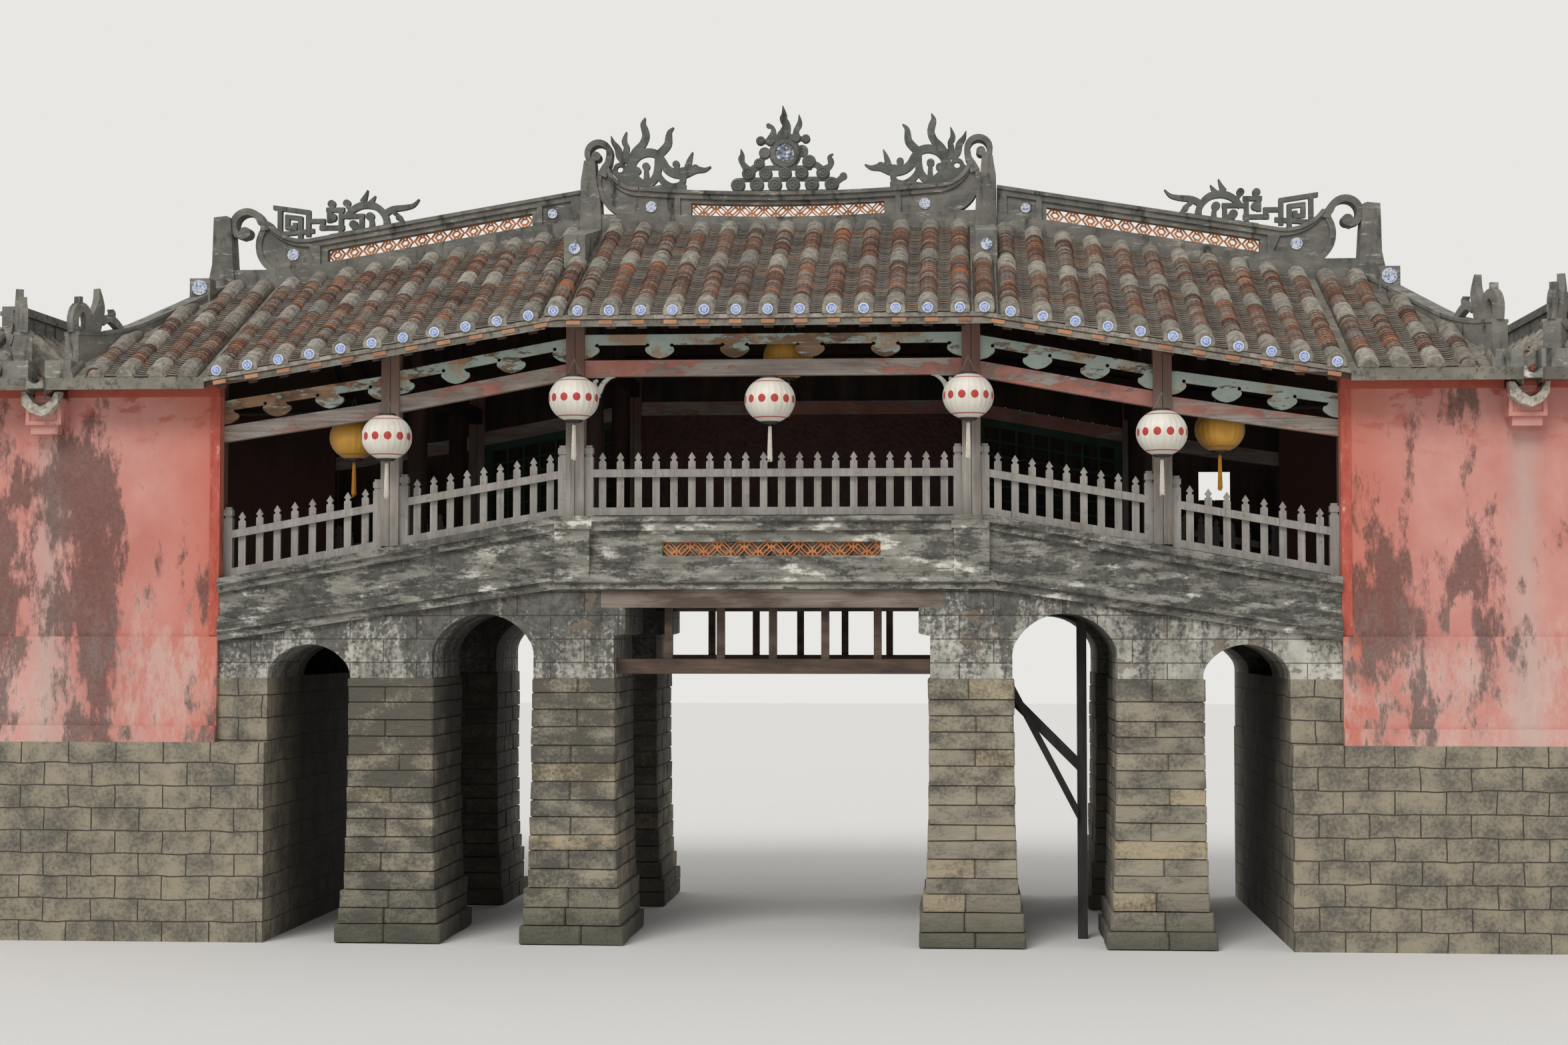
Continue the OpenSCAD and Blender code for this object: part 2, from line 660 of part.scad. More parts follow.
// Fence panel between two stations, with a newel at each end
module fence_panel(x0, x1, n) {
    fy = -post_y - newel_w / 2;
    step = (x1 - x0 - 2 * newel_w) / n;
    for (i = [0 : n - 1]) {
        x = x0 + newel_w + (i + 0.5) * step;
        translate([x, 0, parapet_top(x) + 10]) xz(fy + rail_t - 1, fy + rail_t + picket_t - 1)
            picket_outline(fence_h - 10);
    }
    for (z = [bend_gap, fence_h - 290])
        sloped(x0, x1, parapet_top(x0) + z, parapet_top(x1) + z, rail_h, fy, fy + rail_t);
    newel(x0 + newel_w / 2);
    newel(x1 - newel_w / 2);
}
module fence_centre() {
    x1 = post1_x - post_w / 2 - gap;
    color("#8d8680") fence_panel(-x1, x1, 20);
}
module fences_side() {
    color("#8d8680") both_ends() {
        fence_panel(post1_x + post_w / 2 + gap, post2_x - post_w / 2 - gap, 9);
        fence_panel(post2_x + post_w / 2 + gap, gate_x - gap, 8);
    }
}
module fences_rear() {
    color("#8d8680") mirror([0, 1, 0]) both_ends() fence_panel(post2_x + post_w / 2 + gap, gate_x - gap, 8);
}

// Folding screen of framed leaves that closes the middle of the rear face
screen_t = 60;
stile_w = 90;
screen_leaves = 8;
leaf_recess = 20;
module leaf_panel(x0, x1, z0, z1) {
    for (face = [post_y - screen_t / 2 - 1, post_y + screen_t / 2 - leaf_recess])
        block(x0, x1, face, face + leaf_recess + 1, z0, z1);
}
module rear_screen() {
    x1 = post1_x - post_w / 2 - gap;
    foot = parapet_top_z + gap;
    step = 2 * x1 / screen_leaves;
    h = beam_z - gap - foot;
    color("#5a3226") difference() {
        block(-x1, x1, post_y - screen_t / 2, post_y + screen_t / 2, foot, foot + h);
        for (i = [0 : screen_leaves - 1]) {
            a = -x1 + i * step + stile_w / 2;
            b = a + step - stile_w;
            leaf_panel(a, b, foot + stile_w, foot + h * 0.3);
            leaf_panel(a, b, foot + h * 0.3 + stile_w, foot + h * 0.72);
            leaf_panel(a, b, foot + h * 0.72 + stile_w, foot + h - stile_w);
        }
    }
}
lattice_bar = 34;
lattice_cols = 8;
lattice_rows = 7;
module rear_lattices() {
    a = post1_x + post_w / 2 + gap;
    b = post2_x - post_w / 2 - gap;
    y0 = post_y - screen_t / 2;
    w = (b - a - 2 * stile_w) / lattice_cols;
    low = [parapet_top(a) + bend_gap, parapet_top(b) + bend_gap];
    high = [side_beam_top(a) - beam_h - gap, side_beam_top(b) - beam_h - gap];
    color("#3f5a49") both_ends() difference() {
        raked(a, b, low[0], low[1], high[0], high[1], y0, y0 + screen_t);
        xz(y0 - 1, y0 + screen_t + 1) for (i = [0 : lattice_cols - 1], k = [0 : lattice_rows - 1]) {
            x0 = a + stile_w + i * w + lattice_bar / 2;
            x1 = x0 + w - lattice_bar;
            polygon([
                lattice_point(x0, a, b, low, high, k, 1), lattice_point(x1, a, b, low, high, k, 1),
                lattice_point(x1, a, b, low, high, k + 1, -1), lattice_point(x0, a, b, low, high, k + 1, -1)
            ]);
        }
    }
}
// Corner of a lattice hole at a station, half a bar over or under the line of a row
function lattice_point(x, a, b, low, high, row, side) =
    let (t = (x - a) / (b - a), foot = low[0] * (1 - t) + low[1] * t + stile_w,
        top = high[0] * (1 - t) + high[1] * t - stile_w)
    [x, foot + (top - foot) * row / lattice_rows + side * lattice_bar / 2];

// Section drawn across the fall, run down a slope from y = 0 towards -Y and cut to a plan outline
module down_slope(rise_per, run, plan) {
    tilt = atan(rise_per);
    intersection() {
        translate([0, 0, -4000]) linear_extrude(6000) polygon(plan);
        rotate([90 + tilt, 0, 0]) translate([0, 0, -300]) linear_extrude(run / cos(tilt) + 600) children();
    }
}
module roof_board(rise_per, fall, x0, x1, run, plan, thick) {
    cross = fall * cos(atan(rise_per));
    down_slope(rise_per, run, plan)
        polygon([[x0, -cross * x0], [x1, -cross * x1], [x1, -cross * x1 - thick],
            [x0, -cross * x0 - thick]]);
}
roll_lift = 15;
module tile_rolls(rise_per, fall, run, rolls, plan) {
    cross = fall * cos(atan(rise_per));
    down_slope(rise_per, run, plan) for (x = rolls) translate([x, -cross * x + roll_lift]) circle(roll_r);
}
verge_w = 270;
verge_x = roof_break_x + verge_w / 2;
spur_x = roof_break_x + 80;
spur_w = 260;
spur_foot_y = 1500;
bare_y = ridge_t / 2 + 20;
module roof_centre_slope() {
    x1 = spur_x - spur_w / 2;
    translate([0, 0, ridge_z]) {
        roof_board(pitch, 0, -verge_x, verge_x, eave_y,
            [[-verge_x, 0], [verge_x, 0], [verge_x, -eave_y], [-verge_x, -eave_y]], roof_t);
        tile_rolls(pitch, 0, eave_y, [for (i = [-6 : 6]) i * roll_pitch],
            [[-x1, -bare_y], [x1, -bare_y], [x1, -eave_y], [-x1, -eave_y]]);
        both_ends() tile_rolls(pitch, 0, eave_y, [spur_x - 45],
            [[x1, -spur_foot_y - gap], [verge_x, -spur_foot_y - gap], [verge_x, -eave_y], [x1, -eave_y]]);
    }
}
module roof_centre_front() {
    color("#5b4034") roof_centre_slope();
}
module roof_centre_rear() {
    color("#5b4034") mirror([0, 1, 0]) roof_centre_slope();
}
side_roll_x = spur_x + spur_w / 2 + roll_r + 5;
module roof_side_slope() {
    x0 = verge_x - roof_break_x + gap;
    x1 = gate_roof_x - roof_break_x;
    translate([roof_break_x, 0, ridge_z]) {
        roof_board(pitch, roof_fall, x0 - 100, x1 + 100, eave_y,
            [[x0, 0], [x1, 0], [x1, -eave_y], [x0, -eave_y]], roof_t);
        tile_rolls(pitch, roof_fall, eave_y,
            [for (i = [0 : 10]) side_roll_x - roof_break_x + i * roll_pitch],
            [[x0, -bare_y], [x1, -bare_y], [x1, -eave_y], [x0, -eave_y]]);
    }
}
module roofs_side_front() {
    color("#5b4034") both_ends() roof_side_slope();
}
module roofs_side_rear() {
    color("#5b4034") mirror([0, 1, 0]) both_ends() roof_side_slope();
}

// Hipped roof of a gatehouse beside the bridge roof
gate_ridge_z = ridge_z - roof_drop(gate_roof_x);
gate_eave_z = eave_z - roof_drop(gate_roof_x);
hip_top_x = 7150;
hip_foot_x = valley_x - gutter_w / 2;
module inner_gate_planes(thick) {
    hip_pitch = roof_rise / (hip_foot_x - hip_top_x);
    x1 = hip_top_x - gate_roof_x;
    x2 = hip_foot_x - gate_roof_x;
    both_faces() translate([gate_roof_x + gap, 0, gate_ridge_z])
        roof_board(pitch, 0, -50, 2500, eave_y, [[0, 0], [x1, 0], [x2, -eave_y], [0, -eave_y]], thick);
    translate([hip_top_x, 0, gate_ridge_z]) rotate(90)
        roof_board(hip_pitch, 0, -eave_y - 50, eave_y + 50, x2 - x1,
            [[0, 0], [eave_y, x1 - x2], [-eave_y, x1 - x2]], thick);
}
module inner_gate_rolls(g) {
    hip_pitch = roof_rise / (hip_foot_x - hip_top_x);
    x1 = hip_top_x - gate_roof_x;
    x2 = hip_foot_x - gate_roof_x;
    both_faces() translate([gate_roof_x + gap, 0, gate_ridge_z])
        tile_rolls(pitch, 0, eave_y, [for (i = [11 : 15]) side_roll_x + i * roll_pitch - gate_roof_x],
            [[0, -bare_y], [x1 - g, -bare_y], [x2 - corner_w - gap, -eave_y + corner_w],
                [x2 - corner_w - gap, -eave_y], [0, -eave_y]]);
    translate([hip_top_x, 0, gate_ridge_z]) rotate(90)
        tile_rolls(hip_pitch, 0, x2 - x1, [for (i = [-7 : 7]) i * roll_pitch],
            [[0, -g * 3], [eave_y - g * 2.5, x1 - x2], [-eave_y + g * 2.5, x1 - x2]]);
}
hip_t = 200;
module gate_roofs_inner() {
    color("#5b4034") both_ends() {
        inner_gate_planes(roof_t);
        inner_gate_rolls(hip_t * 0.62);
    }
}
// Outer gate roof, hipped at both ends of a short ridge across the bridge
gate_ridge_half = 1700;
gate_in_x = valley_x + gutter_w / 2;
gate_mid_x = (gate_in_x + roof_end_x) / 2;
gate_half = roof_end_x - gate_mid_x;
gate_end_run = eave_y - gate_ridge_half;
module outer_gate_planes(thick) {
    r = gate_ridge_half;
    for (turn = [90, 270]) translate([gate_mid_x, 0, gate_eave_z + gate_rise]) rotate(turn)
        roof_board(gate_rise / gate_half, 0, -eave_y - 50, eave_y + 50, gate_half,
            [[-r, 0], [r, 0], [eave_y, -gate_half], [-eave_y, -gate_half]], thick);
    both_faces() translate([gate_mid_x, -r, gate_eave_z + gate_rise])
        roof_board(gate_rise / gate_end_run, 0, -gate_half - 50, gate_half + 50, gate_end_run,
            [[0, 0], [gate_half, -gate_end_run], [-gate_half, -gate_end_run]], thick);
}
module outer_gate_rolls(g) {
    r = gate_ridge_half;
    for (turn = [90, 270]) translate([gate_mid_x, 0, gate_eave_z + gate_rise]) rotate(turn)
        tile_rolls(gate_rise / gate_half, 0, gate_half, [for (i = [-7 : 7]) i * roll_pitch],
            [[-r, -bare_y], [r, -bare_y], [eave_y - 2 * g, -gate_half], [-eave_y + 2 * g, -gate_half]]);
    both_faces() translate([gate_mid_x, -r, gate_eave_z + gate_rise])
        tile_rolls(gate_rise / gate_end_run, 0, gate_end_run, [for (i = [-1 : 1]) i * roll_pitch],
            [[0, -3 * g], [gate_half - g * 1.5, -gate_end_run], [-gate_half + g * 1.5, -gate_end_run]]);
}
module gate_roofs_outer() {
    color("#5b4034") both_ends() {
        outer_gate_planes(roof_t);
        outer_gate_rolls(hip_t * 0.6);
    }
}

// Gutter in the valley with a spout at each face
gutter_z = gate_eave_z - roof_t;
gutter_h = 130;
module gutter_section(w, h, wall) {
    difference() {
        translate([-w / 2, 0]) square([w, h]);
        translate([0, h]) circle(w / 2 - wall);
    }
}
module valley_gutters() {
    w = gutter_w - 2 * gap;
    color("#77736a") both_ends()
        translate([valley_x, eave_y + 50, gutter_z]) rotate([90, 0, 0])
            linear_extrude(2 * eave_y + 100) gutter_section(w, gutter_h, 25);
}
hopper_w = 420;
hopper_h = 420;
hopper_out = 260;
hopper_neck_h = 80;
hopper_rim = 45;
module spout_hoppers() {
    neck = gutter_w / 2 - gap;
    half = hopper_w / 2;
    in = half - hopper_rim;
    top = gutter_z - hopper_neck_h;
    low = top - hopper_h * 0.75;
    y0 = -face_y - hopper_out;
    y1 = -face_y - gap;
    color("#c97a74") both_ends() both_faces() translate([valley_x, 0, 0]) difference() {
        union() {
            block(-half, half, y0, y1, low, top);
            block(-in, in, y0 + hopper_rim, y1, top - hopper_h, low + 1);
            block(-half - 15, half + 15, y0 - 15, y1, top - 60, top - 20);
            block(-neck, neck, y0, y1, top - 1, gutter_z - gap);
        }
        block(-in, in, y0 - 20, y0 + 20, low + hopper_rim, top - 60 - hopper_rim);
    }
}

// Solid below the bridge roof planes near the ridge, to seat what stands on them
module below_roof(run) {
    translate([0, 0, ridge_z]) both_faces() {
        roof_board(pitch, 0, -verge_x - 50, verge_x + 50, run,
            [[-verge_x, 1], [verge_x, 1], [verge_x, -run], [-verge_x, -run]], 1500);
        both_ends() translate([roof_break_x, 0, 0])
            roof_board(pitch, roof_fall, -100, 5000, run,
                [[verge_w / 2 - 1, 1], [4080, 1], [4080, -run], [verge_w / 2 - 1, -run]], 1500);
    }
    both_ends() inner_gate_planes(1500);
}
// Levels of the middle ridge wall over the roof ridge. All its lines rise a little towards the boat ends.
bed_h = 74;
open_low_h = 118;
open_high_h = 268;
panel_high_h = 322;
panel_half_t = 70;
frame_half_t = 100;
ridge_rise = 90;
boat_x = 2030;
boat_keel = [1980, ridge_z + 580];
boat_keel_r = 450;
boat_deck = [1900, ridge_z + ridge_h + 470];
boat_deck_r = 395;
fret_half = 1220;
panel_end_x = 1360;
bar_w = 70;
function sway(x) = ridge_rise * pow(min(abs(x), boat_x) / boat_x, 2);
function level(h, from, to, n) =
    [for (i = [0 : n]) let (x = from + (to - from) * i / n) [x, ridge_z + h + sway(x)]];
function plain(q) = [for (p = q) [p[0], p[1]]];
function boat_outline() = concat(
    [[0, ridge_z + bed_h - 10]], level(bed_h - 10, 300, 1900, 8),
    plain(turn(boat_keel, boat_keel_r, boat_keel_r, 0, 0, -84, 8, 14)),
    [[2400, ridge_z + 715], [2335, ridge_z + 800], [2262, ridge_z + 800]],
    plain(turn(boat_deck, boat_deck_r, boat_deck_r, 0, 0, -24, -88, 10)),
    level(ridge_h, 1850, 0, 12)
);
function boat_panel() = concat(
    level(bed_h + 30, panel_end_x + bar_w, 1980, 4),
    plain(turn(boat_keel, boat_keel_r - 62, boat_keel_r - 62, 0, 0, -78, 26, 12)),
    plain(turn(boat_deck, boat_deck_r + 52, boat_deck_r + 106, 0, 0, -20, -88, 8)),
    level(panel_high_h, 1840, panel_end_x + bar_w, 4)
);
function hook_line() = concat(
    [[2360, ridge_z + 660, 62], [2318, ridge_z + 760, 48], [2280, ridge_z + 830, 39]],
    turn([2404, ridge_z + 947], 142, 142, 38, 36, 192, -24, 14),
    [[2500, ridge_z + 868, 28], [2450, ridge_z + 880, 20]]
);
post_half_t = 150;
module ridge_post() {
    translate([0, ridge_z]) polygon([
        [2354, -180], [2360, 120], [2372, 350], [2413, 520], [2428, 650],
        [2444, 850], [2580, 850], [2592, 760], [2620, 590], [2632, -180]
    ]);
}
module halves() {
    for (s = [0, 1]) mirror([s, 0]) children();
}
module ridge_centre() {
    color("#565a57") difference() {
        union() {
            xz(-ridge_t / 2, ridge_t / 2) {
                x1 = roof_break_x;
                polygon(concat([[x1, ridge_z - 200], [-x1, ridge_z - 200]], level(bed_h, -x1, x1, 20)));
            }
            xz(-panel_half_t, panel_half_t) halves() polygon(boat_outline());
            xz(-frame_half_t, frame_half_t) difference() {
                halves() polygon(boat_outline());
                halves() polygon(boat_panel());
                polygon(concat(level(bed_h + 30, -panel_end_x, panel_end_x, 16),
                    level(panel_high_h, panel_end_x, -panel_end_x, 16)));
            }
            xz(-ridge_t / 2, ridge_t / 2) halves() {
                polygon(concat(level(ridge_h - 45, 0, 1880, 10), level(ridge_h, 1880, 0, 10)));
                polygon(band_outline(
                    turn(boat_deck, boat_deck_r + 20, boat_deck_r + 20, 22, 24, -91, -22, 9)));
            }
            xz(-frame_half_t - 10, frame_half_t + 10) halves() {
                polygon(band_outline(hook_line()));
                translate([2434, ridge_z + 913]) circle(58);
            }
            xz(-post_half_t, post_half_t) halves() ridge_post();
        }
        xz(-ridge_t, ridge_t)
            polygon(concat(level(open_low_h, -fret_half, fret_half, fret_n),
                level(open_high_h, fret_half, -fret_half, fret_n)));
        below_roof(800);
    }
}

// Side ridge walls: their lines lie at fixed heights over the falling roof ridge and end in a boat shape
side_bed_h = 145;
side_open_low_h = 178;
side_open_high_h = 335;
side_panel_high_h = 400;
side_open_x0 = 3250;
side_open_x1 = 5890;
side_fret_n = 12;
side_bar_x = 5980;
side_start_x = 2633;
side_keel = [6420, gate_ridge_z + 493];
side_keel_r = 400;
side_deck = [6200, gate_ridge_z + 1129];
side_deck_r = 560;
// Where the straight rim of the wall passes into the curve of the boat
side_rim_x = 6109;
end_bed_h = 178;
end_post_x = 7150;
function over_ridge(x, h) = [x, ridge_z - roof_fall * (x - roof_break_x) + h];
function side_boat() = concat(
    [over_ridge(side_start_x, side_bed_h - 10), over_ridge(5950, side_bed_h - 10)],
    plain(turn(side_keel, side_keel_r, side_keel_r, 0, 0, -60, 34, 12)),
    [[6700, gate_ridge_z + 800], [6642, gate_ridge_z + 790]],
    plain(turn(side_deck, side_deck_r, side_deck_r, 0, 0, -38, -98, 10)),
    [over_ridge(side_rim_x, side_ridge_h), over_ridge(side_start_x, side_ridge_h)]
);
function side_panel() = concat(
    [over_ridge(side_bar_x + bar_w, side_bed_h + 70)],
    plain(turn(side_keel, side_keel_r - 75, side_keel_r - 75, 0, 0, -62, 32, 10)),
    plain(turn(side_deck, side_deck_r + 55, side_deck_r + 100, 0, 0, -30, -96, 7))
);
function side_hook() = concat(
    [[6700, gate_ridge_z + 690, 62], [6715, gate_ridge_z + 770, 50]],
    turn([6945, gate_ridge_z + 750], 195, 165, 44, 42, 168, -40, 14),
    [[6998, gate_ridge_z + 612, 36], [6940, gate_ridge_z + 622, 26]]
);
module ridges_side() {
    color("#565a57") both_ends() difference() {
        union() {
            xz(-ridge_t / 2, ridge_t / 2) polygon([
                over_ridge(side_start_x, -200), [gate_roof_x, gate_ridge_z - 200],
                [hip_top_x + 120, gate_ridge_z - 200],
                [hip_top_x + 120, gate_ridge_z + end_bed_h], [6450, gate_ridge_z + end_bed_h],
                over_ridge(5980, side_bed_h), over_ridge(side_start_x, side_bed_h)
            ]);
            xz(-panel_half_t, panel_half_t) polygon(side_boat());
            xz(-frame_half_t, frame_half_t) difference() {
                polygon(side_boat());
                polygon(side_panel());
                polygon([over_ridge(side_start_x + 120, side_bed_h + 25),
                    over_ridge(side_open_x0 - 130, side_bed_h + 25),
                    over_ridge(side_open_x0 - 130, side_panel_high_h),
                    over_ridge(side_start_x + 120, side_panel_high_h)]);
                polygon([over_ridge(side_open_x0 - 60, side_bed_h + 20),
                    over_ridge(side_bar_x, side_bed_h + 20),
                    over_ridge(side_bar_x, side_panel_high_h),
                    over_ridge(side_open_x0 - 60, side_panel_high_h)]);
            }
            xz(-ridge_t / 2, ridge_t / 2) {
                polygon([over_ridge(side_start_x, side_ridge_h - 45),
                    over_ridge(side_rim_x + 5, side_ridge_h - 45),
                    over_ridge(side_rim_x + 5, side_ridge_h), over_ridge(side_start_x, side_ridge_h)]);
                polygon(band_outline(
                    turn(side_deck, side_deck_r + 22, side_deck_r + 22, 21.5, 24, -99, -36, 10)));
            }
            xz(-frame_half_t - 10, frame_half_t + 10) {
                polygon(band_outline(side_hook()));
                translate([6962, gate_ridge_z + 662]) circle(72);
            }
            xz(-post_half_t, post_half_t) translate([end_post_x, gate_ridge_z]) polygon([
                [-90, -200], [-50, 250], [-10, 850], [40, 872], [205, 855], [220, 250], [260, 60], [260, -500]
            ]);
        }
        xz(-ridge_t, ridge_t) polygon([
            over_ridge(side_open_x0, side_open_low_h), over_ridge(side_open_x1, side_open_low_h),
            over_ridge(side_open_x1, side_open_high_h), over_ridge(side_open_x0, side_open_high_h)
        ]);
        below_roof(800);
    }
}

// Walls over the hips of the gatehouse roofs: concave tops, a raised foot and a scroll ornament over it
hip_start = 0.06;
inner_hip_end = 0.87;
outer_hip_end = 0.75;
hip_cap = 12;
hip_cap_h = 40;
ornament_t = 90;
// Height of the wall top over the hip line, at a share of the way from its start to its foot
function hip_top_h(u) = 105 + (u < 0.5 ? 80 * u - 40 : 1150 * pow(u - 0.5, 2));
function hip_line(run, z0, z1, end, lift) =
    [for (i = [0 : 10]) let (t = hip_start + (end - hip_start) * i / 10)
        [run * t, z0 + (z1 - z0) * t + hip_top_h(i / 10) + lift]];
function hip_outline(run, z0, z1, end) = concat(hip_line(run, z0, z1, end, 0),
    [[run * end, z0 + (z1 - z0) * end - 300], [run * hip_start, z0 + (z1 - z0) * hip_start - 300]]);
module hip_ornament() {
    stroke([[-880, 30, 20], [-700, 30, 38], [-450, 10, 50], [-200, 10, 50], [20, 20, 30]]);
    stroke([[30, 10, 50], [40, 180, 55], [-30, 300, 60], [-150, 290, 52], [-190, 150, 45], [-180, 10, 50]]);
    stroke([[-290, 10, 80], [-330, 170, 95], [-390, 330, 75], [-395, 440, 42], [-370, 570, 6]]);
    stroke([[-430, 180, 50], [-540, 235, 42], [-650, 215, 45], [-770, 140, 38], [-880, 60, 12]]);
    stroke([[-600, 230, 34], [-640, 300, 22], [-610, 350, 5]]);
    translate([-50, 385]) square([50, 100], center = true);
}
// From the top of a hip line to its foot, with the roof planes below it cut away
module hip_wall(x0, y0, z0, x1, y1, z1, end) {
    run = norm([x1 - x0, y1 - y0]);
    end_z = z0 + (z1 - z0) * end + hip_top_h(1);
    translate([x0, y0, 0]) rotate(atan2(y1 - y0, x1 - x0)) {
        xz(-hip_t / 2, hip_t / 2) polygon(hip_outline(run, z0, z1, end));
        xz(-hip_t / 2 - hip_cap, hip_t / 2 + hip_cap)
            polygon(concat(hip_line(run, z0, z1, end, 0),
                reversed(hip_line(run, z0, z1, end, -hip_cap_h))));
        xz(-ornament_t / 2, ornament_t / 2) intersection() {
            translate([run * end - 60, end_z - 10]) hip_ornament();
            polygon(concat(hip_line(run, z0, z1, end, -20),
                [[run * end + 200, end_z - 10], [run * end + 200, end_z + 900],
                [run * hip_start, end_z + 3000]]));
        }
    }
}
function reversed(q) = [for (i = [len(q) - 1 : -1 : 0]) q[i]];
// Mortar block on the corner of an eave
corner_w = 300;
corner_h = 210;
module corner_block(x0) {
    block(x0, x0 + corner_w, -eave_y + 10, -eave_y + 10 + corner_w, gate_eave_z - 100,
        gate_eave_z + corner_h);
}
// Solid below the two long slopes and the front end slope of the outer gate roof
module below_outer_gate() {
    top_z = gate_eave_z + gate_rise;
    out = 100;
    low_z = gate_eave_z - out * gate_rise / gate_half;
    intersection() {
        xz(-eave_y - out, 0) polygon([[gate_mid_x, top_z], [roof_end_x + out, low_z], [roof_end_x + out, 0],
            [gate_in_x - out, 0], [gate_in_x - out, low_z]]);
        yz(gate_in_x - out, roof_end_x + out) polygon([
            [0, 0], [0, top_z + gate_rise * gate_ridge_half / gate_end_run],
            [-eave_y - out, gate_eave_z - out * gate_rise / gate_end_run], [-eave_y - out, 0]
        ]);
    }
}
module verge_spur() {
    yz(spur_x - spur_w / 2, spur_x + spur_w / 2) polygon([
        [-post_half_t - gap, ridge_z - 300], [-post_half_t - gap, ridge_z - 35],
        [-spur_foot_y, ridge_z - 320], [-spur_foot_y, ridge_z - 900]
    ]);
}
module hip_walls() {
    top_z = gate_eave_z + gate_rise;
    color("#565a57") both_ends() both_faces() {
        difference() {
            union() {
                hip_wall(hip_top_x, 0, gate_ridge_z, hip_foot_x, -eave_y, gate_eave_z, inner_hip_end);
                block(hip_top_x + 90, hip_top_x + 350, -640, -400, gate_ridge_z - 500, gate_ridge_z);
                corner_block(hip_foot_x - corner_w);
            }
            inner_gate_planes(1500);
        }
        difference() {
            union() for (side = [-1, 1]) {
                hip_wall(gate_mid_x, -gate_ridge_half, top_z, gate_mid_x + side * gate_half, -eave_y,
                    gate_eave_z, outer_hip_end);
                corner_block(side < 0 ? gate_in_x : roof_end_x - corner_w);
            }
            below_outer_gate();
        }
        difference() {
            verge_spur();
            below_roof(spur_foot_y + 200);
        }
    }
}
gate_ridge_h = 280;
module gate_ridges() {
    top_z = gate_eave_z + gate_rise;
    inset = 30;
    color("#565a57") both_ends() difference() {
        union() {
            block(gate_mid_x - ridge_t / 2, gate_mid_x + ridge_t / 2, -gate_ridge_half + inset,
                gate_ridge_half - inset,
                top_z - 200, top_z + gate_ridge_h);
            block(gate_mid_x - ridge_t / 2 - 25, gate_mid_x + ridge_t / 2 + 25, -gate_ridge_half + inset,
                gate_ridge_half - inset, top_z + gate_ridge_h - 110, top_z + gate_ridge_h - 60);
        }
        outer_gate_planes(1500);
    }
}

// Openwork crests on the ridge walls, each a thin plate with thicker roundels and flames
crest_t = 60;
roundel_t = 100;
crest_roundels = concat(
    [for (x = [-631, -391, -163, 66, 306, 557]) [x, 100, 92]],
    [for (x = [-497, -280, -34, 177, 446]) [x, 245, 86]],
    [[-362, 371, 70], [270, 389, 88], [-292, 506, 75], [183, 529, 75], [-222, 658, 60],
        [-345, 664, 58], [229, 682, 56], [107, 693, 60], [-58, 734, 75]]
);
crest_webs = [
    [[-610, 170, 24], [-300, 172, 26], [0, 172, 26], [300, 172, 26], [550, 170, 24]],
    [[-292, 506, 30], [-362, 371, 40], [-497, 260, 50]],
    [[-400, 312, 24], [-200, 320, 28], [-34, 320, 30], [177, 315, 28], [300, 320, 30]],
    [[250, 400, 40], [380, 340, 38], [446, 260, 50]],
    [[-345, 664, 26], [-222, 658, 32], [-58, 734, 32], [107, 693, 32], [229, 682, 26]],
    [[-34, 775, 70], [-16, 857, 52], [-57, 939, 47], [-46, 998, 35], [-63, 1109, 4]],
    [[106, 682, 60], [106, 787, 35], [142, 857, 35], [153, 916, 25], [142, 992, 4]],
    [[-210, 670, 65], [-180, 775, 35], [-198, 834, 25], [-245, 857, 26]],
    [[-514, 300, 50], [-573, 377, 35], [-590, 436, 40], [-579, 494, 27], [-596, 564, 4]],
    [[446, 272, 60], [528, 330, 35], [546, 389, 40], [528, 447, 27], [575, 488, 4]],
    [[557, 100, 50], [634, 143, 35], [704, 201, 40]]
];
medal = [-34, 500];
medal_r = 176;
medal_rim = 50;
// Region over the middle ridge wall from x0 to x1, its foot a small gap above the wall
module over_wall(x0, x1) {
    polygon(concat(level(ridge_h + gap, x0, x1, 12), [[x1, ridge_z + 2000], [x0, ridge_z + 2000]]));
}
module cloud_crest() {
    foot = ridge_z + ridge_h;
    color("#4e5250") difference() {
        union() {
            xz(-crest_t / 2, crest_t / 2) intersection() {
                over_wall(-760, 760);
                translate([0, foot]) {
                    for (web = crest_webs) stroke(web);
                    translate([-700, -20]) square([1330, 55]);
                    translate([704, 201]) circle(47);
                    translate([-245, 857]) circle(30);
                    translate(medal) circle(medal_r + 28);
                    for (c = crest_roundels) translate([c[0], c[1]]) circle(c[2]);
                }
            }
            xz(-roundel_t / 2, roundel_t / 2) intersection() {
                over_wall(-760, 760);
                translate([0, foot]) {
                    translate(medal) circle(medal_r);
                    for (c = crest_roundels) if (norm([c[0], c[1]] - medal) > medal_r + c[2] - 30)
                        translate([c[0], c[1]]) circle(c[2] - 10);
                }
            }
        }
        translate([0, 0, foot]) for (face = [-roundel_t, crest_t / 2 - 10])
            xz(face, face + roundel_t - crest_t / 2 + 10) translate(medal) circle(medal_r - medal_rim);
    }
}
